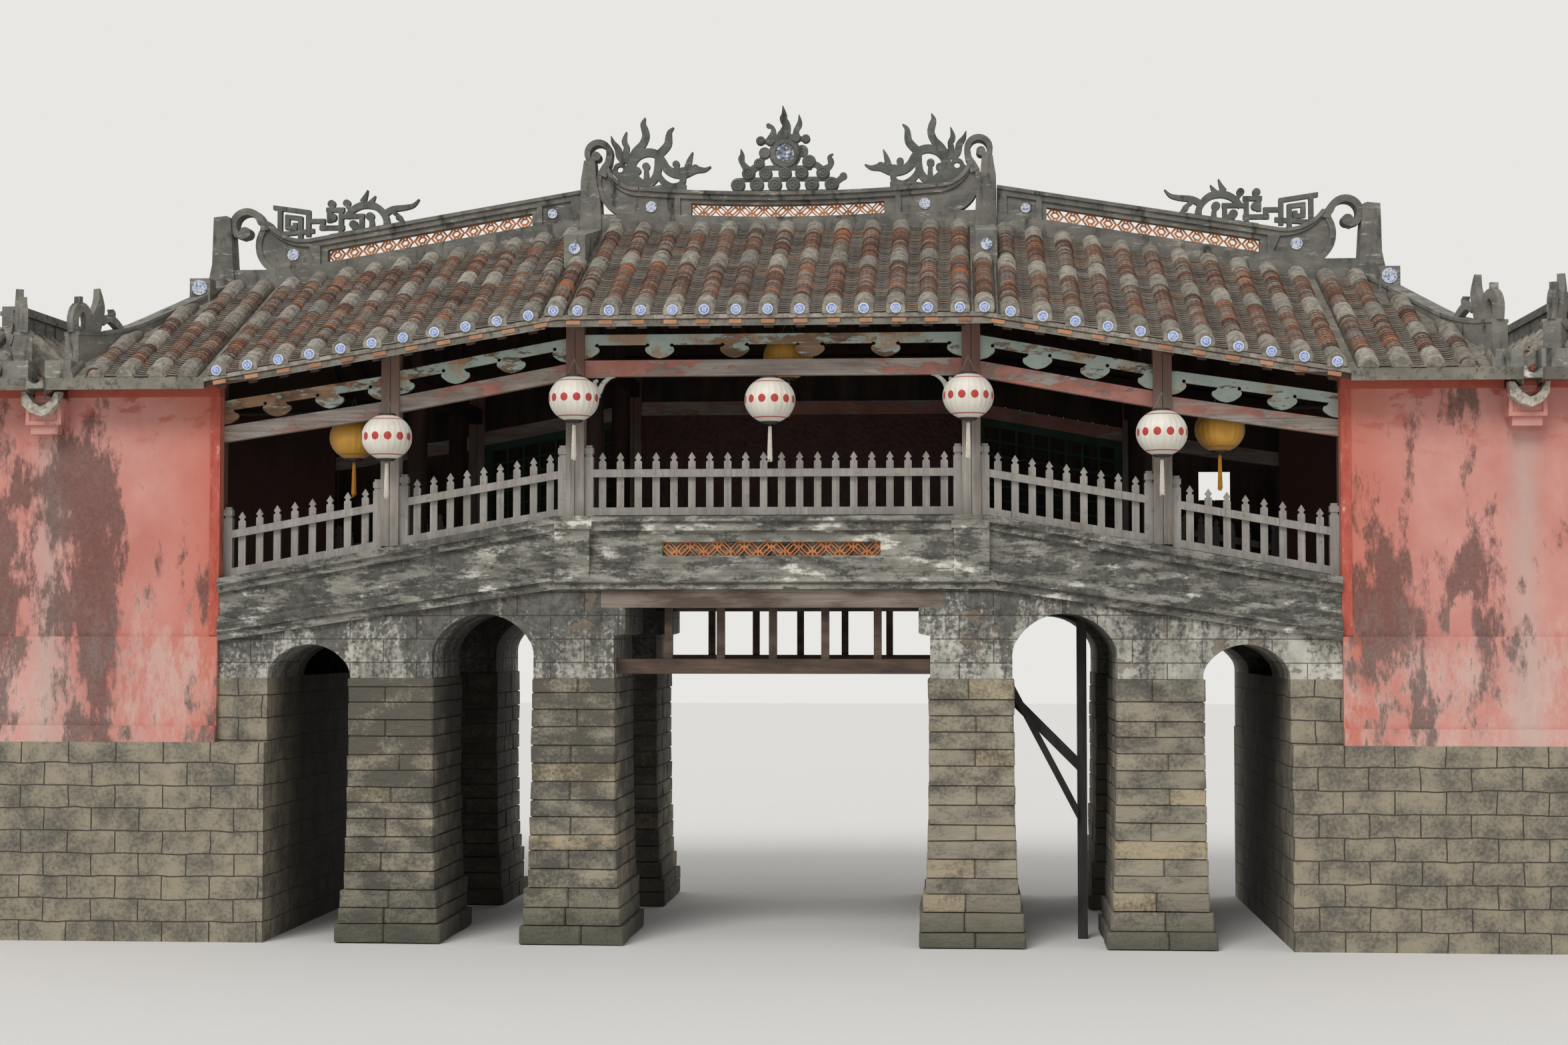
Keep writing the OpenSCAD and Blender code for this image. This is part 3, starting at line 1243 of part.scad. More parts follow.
dragon_strokes = [
    [[976, 344, 8], [1056, 303, 26], [1175, 307, 46], [1327, 268, 70], [1455, 272, 58], [1545, 330, 54],
        [1605, 430, 54], [1670, 510, 52], [1780, 535, 52], [1900, 500, 54], [1985, 410, 60],
        [1990, 290, 66], [1940, 190, 66], [1854, 124, 60]],
    [[1279, 310, 45], [1247, 427, 32], [1207, 531, 6]],
    [[1620, 440, 24], [1570, 340, 26], [1500, 292, 24], [1435, 305, 22], [1404, 350, 22]],
    [[1330, 230, 40], [1348, 130, 40], [1455, 92, 42], [1551, 130, 42], [1625, 210, 40], [1660, 300, 34]],
    [[1345, 120, 56], [1350, 60, 58], [1352, 10, 60]],
    [[1648, 470, 46], [1650, 347, 48], [1675, 230, 48], [1740, 150, 48], [1815, 125, 44], [1880, 150, 40]],
    [[1806, 120, 44], [1798, 220, 34], [1803, 335, 28]],
    [[1560, 80, 50], [1700, 50, 52], [1900, 60, 56], [2040, 110, 60], [2160, 200, 50]],
    [[1655, 500, 50], [1585, 560, 50], [1525, 640, 48], [1515, 735, 40], [1500, 800, 26], [1450, 850, 5]],
    [[2000, 420, 60], [1934, 545, 52], [1848, 641, 46], [1808, 743, 46], [1822, 830, 44], [1842, 900, 34],
        [1815, 980, 5]],
    [[2010, 420, 56], [2062, 523, 42], [2052, 603, 36], [2084, 683, 33], [2054, 803, 5]],
    [[2060, 420, 56], [2140, 485, 46], [2165, 587, 42], [2222, 667, 28], [2250, 750, 5]],
    [[1854, 124, 56], [2014, 188, 60], [2142, 252, 56], [2225, 330, 40]]
];
dragon_rounds = [[1420, 379, 46], [1803, 355, 50], [1918, 300, 50], [1175, 320, 52], [1260, 335, 52]];
module dragon_crests() {
    foot = ridge_z + ridge_h;
    color("#4e5250") both_ends() xz(-crest_t * 0.7, crest_t * 0.7) intersection() {
        translate([0, foot]) difference() {
            union() {
                for (line = dragon_strokes) stroke(line);
                for (c = dragon_rounds) translate([c[0], c[1]]) circle(c[2]);
                translate([2135, 320]) circle(88);
            }
            translate([2135, 320]) circle(38);
        }
        polygon(concat(level(ridge_h + gap, 900, 1880, 10),
            plain(turn(boat_deck, boat_deck_r - gap - 3, boat_deck_r - gap - 3, 0, 0, -90, -24, 12)),
            [[2300, foot + 500], [2300, ridge_z + 2000], [900, ridge_z + 2000]]));
    }
}
// Key pattern crest: bars that each run from an x and a height over the wall foot to the next pair
key_bars = [
    [6613, 1000, 6130, 930], [6527, 971, 6527, 560], [6157, 942, 6157, 620], [6450, 880, 6240, 855],
    [6430, 900, 6430, 745], [6458, 745, 6310, 730], [6330, 720, 6330, 800], [6260, 880, 6260, 660],
    [6527, 655, 6080, 693], [6259, 693, 6259, 560], [6157, 818, 5940, 818], [5971, 837, 5971, 700],
    [6010, 731, 5690, 731], [5732, 971, 5732, 600], [5924, 961, 5690, 961], [5885, 980, 5885, 798],
    [5740, 875, 5430, 878], [5464, 894, 5464, 660], [5464, 735, 5590, 735], [5847, 865, 5885, 865],
    [5856, 1010, 5856, 961]
];
key_strokes = [
    [[5665, 856, 36], [5579, 961, 40], [5444, 1019, 45], [5291, 1000, 45], [5186, 913, 42],
        [5138, 800, 40], [5150, 660, 46]],
    [[5454, 1057, 40], [5416, 1134, 22], [5387, 1210, 4]],
    [[5368, 1030, 30], [5330, 1070, 25], [5287, 1135, 4]],
    [[5176, 894, 40], [5061, 961, 38], [4908, 980, 32], [4793, 1009, 22], [4720, 1086, 5]],
    [[5355, 871, 30], [5330, 780, 30], [5340, 640, 36]],
    [[5060, 930, 30], [4960, 840, 26], [4920, 740, 34]],
    [[5590, 950, 28], [5640, 990, 26], [5659, 1044, 24]]
];
key_rounds = [[5847, 865, 57], [5856, 1038, 50], [5569, 770, 55], [5659, 1044, 48], [5355, 871, 54],
    [4980, 850, 40]];
key_half_w = 29;
module meander_crests() {
    color("#4e5250") both_ends() xz(-crest_t * 0.7, crest_t * 0.7) intersection() {
        translate([0, ridge_z - 680]) {
            for (b = key_bars) let (flat = abs(b[0] - b[2]) > abs(b[1] - b[3]), w = key_half_w)
                polygon(flat
                    ? [[b[0], b[1] - w], [b[2], b[3] - w], [b[2], b[3] + w], [b[0], b[1] + w]]
                    : [[b[0] - w, b[1]], [b[2] - w, b[3]], [b[2] + w, b[3]], [b[0] + w, b[1]]]);
            for (line = key_strokes) stroke(line);
            for (c = key_rounds) translate([c[0], c[1]]) circle(c[2]);
            polygon([[4900, 750], [5880, 590], [5880, 645], [4900, 805]]);
        }
        polygon(concat([over_ridge(4600, side_ridge_h + gap), over_ridge(side_rim_x, side_ridge_h + gap)],
            plain(turn(side_deck, side_deck_r - gap - 2, side_deck_r - gap - 2, 0, 0, -98, -38, 11)),
            [[6700, ridge_z + 1000], [4600, ridge_z + 1000]]));
    }
}
// Pierced terracotta in the openings of the ridge walls
ring_outer = [[0, 0.5], [0.28, 1], [0.72, 1], [1, 0.5], [0.72, 0], [0.28, 0]];
ring_bar = 22;
function about(shape, k) = [for (p = shape) [0.5 + (p[0] - 0.5) * k, 0.5 + (p[1] - 0.5) * k]];
module chain_unit(x0, x1, z0, z1, h) {
    difference() {
        polygon(placed(about(ring_outer, 1.02), x0, x1, z0, z1, h, false));
        polygon(placed(about(ring_outer, 0.78), x0, x1, z0, z1, h, false));
    }
    difference() {
        polygon(placed(about(ring_outer, 0.58), x0, x1, z0, z1, h, false));
        polygon(placed(about(ring_outer, 0.34), x0, x1, z0, z1, h, false));
    }
    for (u = [0.4, 0.6], v = [0, 0.76])
        polygon(placed([[u - 0.04, v], [u + 0.04, v], [u + 0.04, v + 0.24], [u - 0.04, v + 0.24]], x0, x1,
            z0, z1, h, false));
}
module ridge_frets() {
    low = open_low_h + gap;
    high = open_high_h - gap;
    step = 2 * (fret_half - gap) / fret_n;
    color("#c8693f") {
        xz(-fret_t / 2, fret_t / 2) for (i = [0 : fret_n - 1]) {
            x = -fret_half + gap + i * step;
            fret_tile(x, x + step, ridge_z + low + sway(x), ridge_z + low + sway(x + step), high - low,
                i % 2 == 1);
        }
        both_ends() xz(-fret_t / 2, fret_t / 2) intersection() {
            for (i = [0 : side_fret_n - 1]) {
                unit = (side_open_x1 - side_open_x0) / side_fret_n;
                x = side_open_x0 + i * unit;
                chain_unit(x, x + unit, over_ridge(x, side_open_low_h + gap)[1],
                    over_ridge(x + unit, side_open_low_h + gap)[1],
                    side_open_high_h - side_open_low_h - 2 * gap);
            }
            translate([side_open_x0 + gap, 0]) square([side_open_x1 - side_open_x0 - 2 * gap, 20000]);
        }
    }
}

// Plastered gatehouse walls with plinth, ledge and a small cornice
plinth_out = 60;
plinth_top_z = 3510;
wall_top_z = gate_eave_z + (eave_y - face_y - plinth_out) * pitch - roof_t / cos(atan(pitch)) - 1;
gate_fall = gate_rise / gate_half;
head_top_z = min(wall_top_z, gate_eave_z + end_eave * gate_fall - roof_t / cos(atan(gate_fall)) - 1);
module gate_wall() {
    difference() {
        union() {
            block(gate_x, valley_x, -face_y, -face_y + gate_wall_t, gate_base_z + gap, wall_top_z);
            block(valley_x - 1, end_x, -face_y, -face_y + gate_wall_t, gate_base_z + gap, head_top_z);
        }
        block(valley_x - gutter_w / 2, valley_x + gutter_w / 2, -face_y - 1, face_y, gutter_z - gap,
            wall_top_z + 1);
    }
    block(gate_x, end_x, -face_y - ledge_out + 1, -face_y + 1, gate_base_z + gap, gate_base_z + ledge_h);
    block(gate_x, end_x, -face_y - plinth_out, -face_y + 1, gate_base_z + ledge_h - 1, plinth_top_z);
    for (span = [[gate_x, valley_x - hopper_w / 2 - gap], [valley_x + hopper_w / 2 + gap, end_x]])
        block(span[0], span[1], -face_y - 50, -face_y + 1, wall_top_z - 250, wall_top_z - 130);
}
module gate_walls() {
    color("#d98c82") both_ends() both_faces() gate_wall();
}
// End walls beside and over the doorways
module end_jambs() {
    color("#d98c82") both_ends() both_faces()
        block(end_x - gate_wall_t, end_x, -face_y + gate_wall_t + gap, -door_w / 2, gate_base_z + gap,
            door_spring_z);
}
module end_heads() {
    y1 = face_y - gate_wall_t - gap;
    rise = 350;
    r = (door_w * door_w / 4 + rise * rise) / (2 * rise);
    color("#d98c82") both_ends() difference() {
        block(end_x - gate_wall_t, end_x, -y1, y1, door_spring_z + gap, head_top_z);
        translate([end_x - gate_wall_t - 1, 0, door_spring_z + rise - r]) rotate([0, 90, 0])
            cylinder(r = r, h = gate_wall_t + 2);
    }
}

// Round porcelain plates set in the ridge walls and on the hip blocks
disc_t = 14;
module disc(x, y, z, d) {
    translate([x, y, z]) rotate([90, 0, 0]) cylinder(d = d, h = disc_t);
}
module porcelain_discs() {
    color("#5b78a8") both_ends() both_faces() {
        disc(1730, -panel_half_t - gap, ridge_z + 260, 140);
        disc(spur_x, -spur_foot_y - gap, ridge_z - 490, 136);
        disc(2990, -panel_half_t - gap, over_ridge(2990, 285)[1], 120);
        disc(6335, -panel_half_t - gap, gate_ridge_z + 373, 150);
        disc(hip_top_x + 220, -640 - gap, gate_ridge_z - 120, 190);
    }
}

// Round lanterns on wire hangers
rod_d = 14;
module lantern(x, y, z, cord) {
    translate([x, y, z]) {
        rotate_extrude() intersection() {
            circle(lantern_d / 2);
            translate([0, -lantern_h / 2]) square([lantern_d, lantern_h]);
        }
        translate([0, 0, lantern_h / 2 - 1]) cylinder(d = rod_d, h = cord + 1);
        translate([0, 0, -lantern_h / 2 - 450]) cylinder(d = 30, h = 451);
    }
}
module hung_lantern(x, y, z) {
    rim = rod_d / 2 * sqrt(pitch * pitch + roof_fall * roof_fall);
    lantern(x, y, z, roof_under(x, y) - rim - z - lantern_h / 2 - gap);
}
module lanterns_white() {
    y = -2945;
    color("#e8e2d4") {
        hung_lantern(0, y, 6200);
        for (s = [-1, 1]) {
            hung_lantern(s * 2250, y, 6230);
            hung_lantern(s * 4420, y, 5800);
        }
    }
}
module lanterns_yellow() {
    y = -2150;
    color("#d9a13c") {
        hung_lantern(-5000, y, 5860);
        hung_lantern(150, y, 6780);
        hung_lantern(5150, y, 5900);
    }
}

abutments();
piers_front();
piers_rear();
arcades_front();
arcades_rear();
span_beams();
lower_ties();
shoring_props();
joists();
deck_centre();
deck_slopes();
gate_floors();
parapets_centre();
parapets_side();
parapet_frets();
outer_posts();
inner_columns();
eave_beams();
wall_plates();
cross_beams();
king_struts();
purlins();
fascias();
scroll_brackets();
fence_centre();
fences_side();
fences_rear();
rear_screen();
rear_lattices();
roof_centre_front();
roof_centre_rear();
roofs_side_front();
roofs_side_rear();
gate_roofs_inner();
gate_roofs_outer();
valley_gutters();
spout_hoppers();
ridge_centre();
ridges_side();
hip_walls();
gate_ridges();
cloud_crest();
dragon_crests();
meander_crests();
ridge_frets();
gate_walls();
end_jambs();
end_heads();
porcelain_discs();
lanterns_white();
lanterns_yellow();
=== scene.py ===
import math
import random

import bmesh
import bpy
import numpy as np
from mathutils import Matrix, Vector, noise


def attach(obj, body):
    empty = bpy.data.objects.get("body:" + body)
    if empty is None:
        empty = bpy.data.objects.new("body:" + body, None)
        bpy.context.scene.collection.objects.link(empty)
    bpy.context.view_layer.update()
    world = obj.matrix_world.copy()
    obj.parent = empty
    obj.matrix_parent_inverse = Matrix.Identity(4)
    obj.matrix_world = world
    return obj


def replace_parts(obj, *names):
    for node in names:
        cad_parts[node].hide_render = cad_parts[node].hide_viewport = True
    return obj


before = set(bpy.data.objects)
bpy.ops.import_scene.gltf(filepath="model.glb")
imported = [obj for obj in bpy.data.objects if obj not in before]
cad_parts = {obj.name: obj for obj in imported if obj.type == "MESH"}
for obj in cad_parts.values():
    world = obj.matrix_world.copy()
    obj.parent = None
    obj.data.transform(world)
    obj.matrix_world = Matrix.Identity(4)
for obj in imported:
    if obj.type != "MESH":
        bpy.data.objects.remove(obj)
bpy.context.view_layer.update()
noise.seed_set(1)

# Piers: squared sandstone in courses of about 0.2 m, every other course cut in two across the front, with
# thin lime joints. The solid of each pier is the rubble and mortar behind, and the stones stand a little
# proud of it.
COURSE = 0.2
HALF_JOINT = 0.003
HALF_BED = 0.004
STONE_PROUD = 0.012
BATTER = 0.055
BATTER_TOP = 1.9
FOOTING_TOP = 0.42
FOOTING_STEPS = (0.06, 0.03)
PIER_TOP = 3.03
FACE_Y = 2.75
PIER_BACK_Y = 1.17
PIERS = [(1.81, 2.74), (3.92, 4.88)]


class Pattern:
    """A value at each point of a finish, which takes part in sums."""

    def __init__(self, finish, socket):
        self.finish = finish
        self.socket = socket

    def __add__(self, other):
        return self.finish.sums("ADD", self, other)

    def __sub__(self, other):
        return self.finish.sums("SUBTRACT", self, other)

    def __mul__(self, other):
        return self.finish.sums("MULTIPLY", self, other)

    def __truediv__(self, other):
        return self.finish.sums("DIVIDE", self, other)

    def __abs__(self):
        return self.finish.sums("ABSOLUTE", self)


class Finish:
    """A material being made: patterns on Object coordinates, led into its shader."""

    def __init__(self, name, roughness=0.85):
        self.material = bpy.data.materials.new(name)
        self.material.use_nodes = True
        self.tree = self.material.node_tree
        self.shader = self.tree.nodes["Principled BSDF"]
        self.shader.inputs["Roughness"].default_value = roughness
        self.place = self.node("TexCoord", (), "Object")
        self.surface = None
        self.tint = None

    def node(self, kind, inputs, output=0, **settings):
        """One output of a new shader node."""
        made = self.tree.nodes.new("ShaderNode" + kind)
        for key, value in settings.items():
            setattr(made, key, value)
        for key, value in dict(inputs).items():
            if isinstance(value, Pattern):
                self.tree.links.new(value.socket, made.inputs[key])
            elif value is not None:
                made.inputs[key].default_value = value
        return Pattern(self, made.outputs[output])

    def noise(self, scale, stretch=(1, 1, 1), detail=6, rough=0.6):
        place = self.node("Mapping", {"Vector": self.place, "Scale": stretch})
        return self.node("TexNoise", {"Vector": place, "Scale": scale, "Detail": detail, "Roughness": rough})

    def sums(self, how, a, b=None):
        return self.node("Math", {0: a, 1: b}, operation=how)

    def axis(self, which, place=None):
        return self.node("SeparateXYZ", {0: place or self.place}, which)

    def away(self, which):
        """The distance from the middle of the bridge along an axis."""
        return abs(self.axis(which))

    def facing(self, which):
        """How far a face looks along an axis, from -1 to 1."""
        return self.axis(which, self.node("NewGeometry", (), "Normal"))

    def between(self, value, low, high):
        """0 where the value is at low, 1 where it is at high."""
        return self.node("MapRange", {"Value": value, "From Min": low, "From Max": high})

    def mixed(self, share, first, second):
        """Two colours mixed, each a pattern or six hex digits."""
        first, second = (hexed(c) if isinstance(c, str) else c for c in (first, second))
        return self.node("Mix", {0: share, 6: first, 7: second}, 2, data_type="RGBA")

    def graded(self, value, low, high, first, second):
        """From the first colour where the value is at low to the second where it is at high."""
        return self.mixed(self.between(value, low, high), first, second)

    def over(self, colour, share, most=None):
        """Lays a colour over the tint where the share is high, at most that much of it."""
        self.tint = self.mixed(share if most is None else share * most, self.tint, colour)

    def painted_depth_shade(self, share):
        """Lays painted shade over what is away from the two faces: the dark of the depths under the bridge.
        """
        self.over("24211d", self.between(self.away("Y"), 2.6, 1.3), share)

    def per_stone(self):
        """A random number for each stone, board or tile of a piece."""
        return self.node("NewGeometry", (), "Random Per Island")

    def per_strip(self, which, width):
        """A random number for each strip of that width along an axis."""
        number = self.sums("FLOOR", self.axis(which) / width)
        return self.node("TexWhiteNoise", {"W": number}, noise_dimensions="1D")

    def relief(self, height, depth):
        """Adds a bump of that depth in metres to what is there already."""
        self.surface = self.node("Bump", {"Height": height, "Distance": depth, "Normal": self.surface})

    def done(self, *nodes):
        """Leads the tint and the relief into the shader and gives these solids of the frame the material."""
        self.tree.links.new(self.tint.socket, self.shader.inputs["Base Color"])
        if self.surface:
            self.tree.links.new(self.surface.socket, self.shader.inputs["Normal"])
        for name in nodes:
            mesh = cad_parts[name].data
            mesh.materials.clear()
            mesh.materials.append(self.material)
        return self.material


def hexed(code, light=1.0):
    """A colour as it is seen, written as six hex digits, for a shader."""
    channels = [int(code[i:i + 2], 16) / 255 for i in (0, 2, 4)]
    linear = [c / 12.92 if c < 0.04045 else ((c + 0.055) / 1.055) ** 2.4 for c in channels]
    return tuple(min(1, light * c) for c in linear) + (1,)


def piece(name, mesh, material):
    """Puts a finished mesh in the scene as a piece that rides on the bridge."""
    mesh.materials.append(material)
    made = bpy.data.objects.new(name, mesh)
    bpy.context.scene.collection.objects.link(made)
    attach(made, "root")
    return made


def laid(name, pattern, places, material, uneven=0.0, grain=9.0, marked=False):
    """One piece of copies of a pattern, one at each matrix, its corners moved a little as hand work is."""
    points = np.array([v.co for v in pattern.verts])
    faces = [[v.index for v in face.verts] for face in pattern.faces]
    spots = [np.array(place) for place in places]
    corners = np.concatenate([points @ spot[:3, :3].T + spot[:3, 3] for spot in spots])
    if uneven:
        corners = np.array([Vector(c) + noise.noise_vector(Vector(c) * grain) * uneven for c in corners])
    polygons = [[i + k * len(points) for i in face] for k in range(len(spots)) for face in faces]
    mesh = bpy.data.meshes.new(name)
    mesh.from_pydata(corners.tolist(), [], polygons)
    # A share from 0 to 1 along each copy, kept as the attribute along, which the clay uses for its painted
    # shade under each lap.
    if marked:
        share = (points[:, 1] - points[:, 1].min()) / np.ptp(points[:, 1])
        mesh.attributes.new("along", "FLOAT", "POINT").data.foreach_set("value", np.tile(share, len(spots)))
    mesh.update()
    return piece(name, mesh, material)


def bevelled_block(width):
    """A cube of unit size with bevelled edges, for stones and boards that are scaled by their place."""
    block = bmesh.new()
    bmesh.ops.create_cube(block, size=1)
    bmesh.ops.bevel(block, geom=block.edges[:], offset=width, segments=1, profile=0.5,
                    affect="EDGES", material=-1)
    block.verts.index_update()
    return block


def box_place(lo, hi):
    lo, hi = Vector(lo), Vector(hi)
    return Matrix.Translation((lo + hi) / 2) @ Matrix.Diagonal((*(hi - lo), 1))


def coursed(x0, x1, y0, y1, dice):
    """Places of the stones of one pier, course by course; the footing courses stand out."""
    places = []
    level = 0.0
    course = 0
    while level < PIER_TOP - 0.08:
        rise = COURSE * dice.uniform(0.88, 1.12)
        top = PIER_TOP if level + 1.45 * rise > PIER_TOP else level + rise
        foot = BATTER * max(0, 1 - level / BATTER_TOP) ** 1.5
        if level < FOOTING_TOP:
            foot += FOOTING_STEPS[0] if level < FOOTING_TOP * 0.45 else FOOTING_STEPS[1]
        cuts_x = [x0 - foot, (x0 + x1) / 2 + dice.uniform(-0.12, 0.12), x1 + foot]
        if course % 2 and level > FOOTING_TOP:
            del cuts_x[1]
        cuts_y = [y0 - foot, y0 + 0.55 + dice.uniform(-0.1, 0.1),
                  y1 - 0.55 + dice.uniform(-0.1, 0.1), y1 + foot]
        for i in range(len(cuts_x) - 1):
            for k in range(3):
                out = [dice.uniform(0, 0.014) + STONE_PROUD for _ in range(4)]
                places.append(box_place(
                    (cuts_x[i] + (HALF_JOINT if i else -out[0]), cuts_y[k] + (HALF_JOINT if k else -out[1]),
                     level + (HALF_BED if level else STONE_PROUD)),
                    (cuts_x[i + 1] + (out[2] if i == len(cuts_x) - 2 else -HALF_JOINT),
                     cuts_y[k + 1] + (out[3] if k == 2 else -HALF_JOINT), top - HALF_BED)))
        level = top
        course += 1
    return places


sandstone = Finish("sandstone", 0.9)
patches = sandstone.noise(2.2, (1, 1, 1.6))
speckle = sandstone.noise(26, detail=8, rough=0.75)
each = sandstone.per_stone()
sandstone.tint = sandstone.mixed(each, "9c9482", "76736a")
sandstone.over("afa085", sandstone.between(each, 0.86, 0.9))
sandstone.over("aca18a", sandstone.between(patches, 0.4, 0.7), 0.5)
worn = patches * 0.55 + speckle * 0.45
high = sandstone.between(sandstone.axis("Z"), 1.2, 3.0) * 0.07
left = sandstone.between(sandstone.axis("X"), 0.5, -3.5) * 0.1
dark = sandstone.between(worn - (high + left), 0.5, 0.36)
sandstone.over("45423b", dark, 0.8)
damp = sandstone.between(sandstone.axis("Z") + patches * -1.1, 0.1, -0.55)
sandstone.over("45483a", damp, 0.8)
sandstone.relief(speckle, 0.008)
sandstone.relief(sandstone.noise(6, (1, 1, 2.2), detail=5), 0.03)
# Painted shade of the depths under the bridge, darker away from the two faces.
sandstone.painted_depth_shade(0.7)
sandstone.done()

lime_core = Finish("lime_core", 0.95)
lime_core.relief(lime_core.noise(30), 0.004)
lime_core.tint = lime_core.mixed(lime_core.noise(5), "3a352e", "5c5347")
lime_core.done("piers_front", "piers_rear")

stone = bevelled_block(0.03)
for row, side in (("piers_front", -1), ("piers_rear", 1)):
    dice = random.Random(row)
    places = []
    for flank in (-1, 1):
        for x0, x1 in PIERS:
            y0, y1 = sorted((side * FACE_Y, side * PIER_BACK_Y))
            x0, x1 = sorted((flank * x0, flank * x1))
            places += coursed(x0, x1, y0, y1, dice)
    laid(row + "_stones", stone, places, sandstone.material, uneven=0.009, grain=7)

# Abutments: the gatehouse bases and the masonry behind the outer arches, large squared blocks of the same
# sandstone laid in level courses with pointed joints.


def block_joints(finish, length, height, width=0.012, shift=(0, 0, 0), warp=0.0):
    """Depth of the joints between laid blocks on upright faces: 1 in a joint and 0 on a block."""
    place = finish.node("Mapping", {"Vector": finish.place, "Location": shift})
    bend = finish.node("TexNoise", {"Vector": finish.place, "Scale": 2.4, "Detail": 2.0}, "Color")
    bend = finish.node("VectorMath", {0: bend, 1: (warp, warp, warp)}, operation="MULTIPLY")
    place = finish.node("VectorMath", {0: place, 1: bend}, operation="ADD")
    faces_y = finish.sums("GREATER_THAN", abs(finish.facing("Y")), 0.7)
    sides = {0: faces_y, 2: finish.axis("Y", place), 3: finish.axis("X", place)}
    along = finish.node("Mix", sides, data_type="FLOAT")
    flat = finish.node("CombineXYZ", {0: along, 1: finish.axis("Z", place), 2: 0.0})
    inputs = {"Vector": flat, "Scale": 1.0, "Mortar Size": width / 2, "Mortar Smooth": 0.4,
              "Brick Width": length, "Row Height": height}
    return finish.node("TexBrick", inputs, "Fac", offset=0.5)


ashlar = Finish("base_stone", 0.9)
joints = block_joints(ashlar, 0.56, 0.26, 0.016, warp=0.06)
mottle = ashlar.noise(3.0)
grit = ashlar.noise(24, detail=8, rough=0.7)
ashlar.tint = ashlar.graded(mottle, 0.35, 0.68, "7d786b", "9c927d")
dark = ashlar.between(mottle * 0.5 + grit * 0.5, 0.54, 0.38)
ashlar.over("4d4942", dark, 0.7)
ashlar.over("453f37", joints)
ashlar.relief(grit, 0.006)
ashlar.relief(joints * -1.0, 0.012)
# Painted shade of the depths under the bridge, darker away from the two faces.
ashlar.painted_depth_shade(0.75)
ashlar.done("abutments")

# Arcades: rubble arches faced with lime plaster that is scored to look like blocks. The plaster is pale
# where it is sound, black with mould under the ledges, and has come away near the corbels, where courses
# show.
plaster = Finish("arcade_plaster", 0.92)
scored = block_joints(plaster, 0.78, 0.27, 0.014, (0.2, 0.2, 0.03))
cloud = plaster.noise(1.6, (1, 1, 0.8), detail=8, rough=0.65)
grit = plaster.noise(19, detail=9, rough=0.75)
streak = plaster.noise(3.2, (1.0, 1.0, 0.16), detail=7, rough=0.7)
plaster.tint = plaster.graded(cloud, 0.38, 0.66, "8f8c82", "d6d3c8")
rise = plaster.between(plaster.axis("Z"), 2.9, 4.0)
mould = rise * 0.13 + (streak + grit) * 0.5
mould += plaster.between(plaster.axis("X"), 4.0, -4.0) * 0.045
mould = plaster.between(mould, 0.535, 0.62)
black = plaster.graded(plaster.noise(8, detail=9, rough=0.8), 0.42, 0.6, "262622", "5f5e57")
plaster.over(black, mould, 0.88)
bared = plaster.between(plaster.noise(2.7, detail=3), 0.6, 0.63)
plaster.over("77695a", bared, 0.7)
plaster.over("3b3832", scored, 0.75)
plaster.relief(grit, 0.005)
plaster.relief(scored * -0.6 - bared, 0.012)
# Painted shade of the depths under the bridge, darker away from the two faces.
plaster.painted_depth_shade(0.75)
plaster.done("arcades_front", "arcades_rear")

# Timber under the floor: face lintels, span beams, tie beams with studs, joists and the shoring of one
# arch, all rough hardwood, grey-brown outside and nearly black under the floor.


def timber(name, pale, deep, along=0, wear=0.5):
    """Wood with its grain along one axis, weathered in long streaks from a pale colour to a deep one."""
    wood = Finish(name, 0.82)
    stretch = [1.0, 1.0, 1.0]
    stretch[along] = 0.035
    grain = wood.noise(34, stretch, detail=7, rough=0.7)
    stretch[along] = 0.22
    broad = wood.noise(5, stretch, detail=5)
    check = wood.between(grain, 0.36, 0.31)
    wood.tint = wood.graded(broad, 0.5 - wear * 0.2, 0.5 + wear * 0.2, deep, pale)
    between_rings = wood.mixed(0.62, wood.tint, hexed(deep, 0.55))
    wood.tint = wood.mixed(wood.between(grain, 0.3, 0.75), between_rings, wood.tint)
    wood.over(hexed(deep, 0.3), check, 0.7)
    wood.relief(grain, 0.004)
    return wood


for name, pale, deep, along, nodes in (
        ("lintel_timber", "9a8d80", "5c4d43", 0, ["span_beams"]),
        ("tie_timber", "705a4b", "43352d", 0, ["lower_ties"]),
        ("joist_timber", "4a3a2f", "2a211c", 1, ["joists"]),
        ("frame_timber", "4d342a", "291b17", 1, ["cross_beams"]),
        ("purlin_timber", "4a3329", "261a16", 0, ["purlins", "wall_plates"]),
        ("strut_timber", "4a3329", "261a16", 2, ["king_struts"]),
        ("column_timber", "432a21", "23160f", 2, ["inner_columns"]),
        ("shoring_timber", "3a3632", "171615", 2, ["shoring_props"])):
    wood = timber(name, pale, deep, along)
    wood.done(*nodes)

# Floors: hardwood boards 0.21 m wide laid along the bridge, and brick paving on the filled floors of the
# gatehouses.
BOARD_W = 0.21
boards = timber("floor_timber", "8d7862", "54453a", 0, wear=0.9)
lane = boards.sums("FRACT", boards.axis("Y") / BOARD_W)
seam = boards.between(abs(lane - 0.5), 0.475, 0.49)
boards.over("5b4a3c", boards.per_strip("Y", BOARD_W), 0.45)
boards.over("1d1814", seam)
boards.relief(seam * -1.0, 0.01)
boards.done("deck_centre", "deck_slopes")

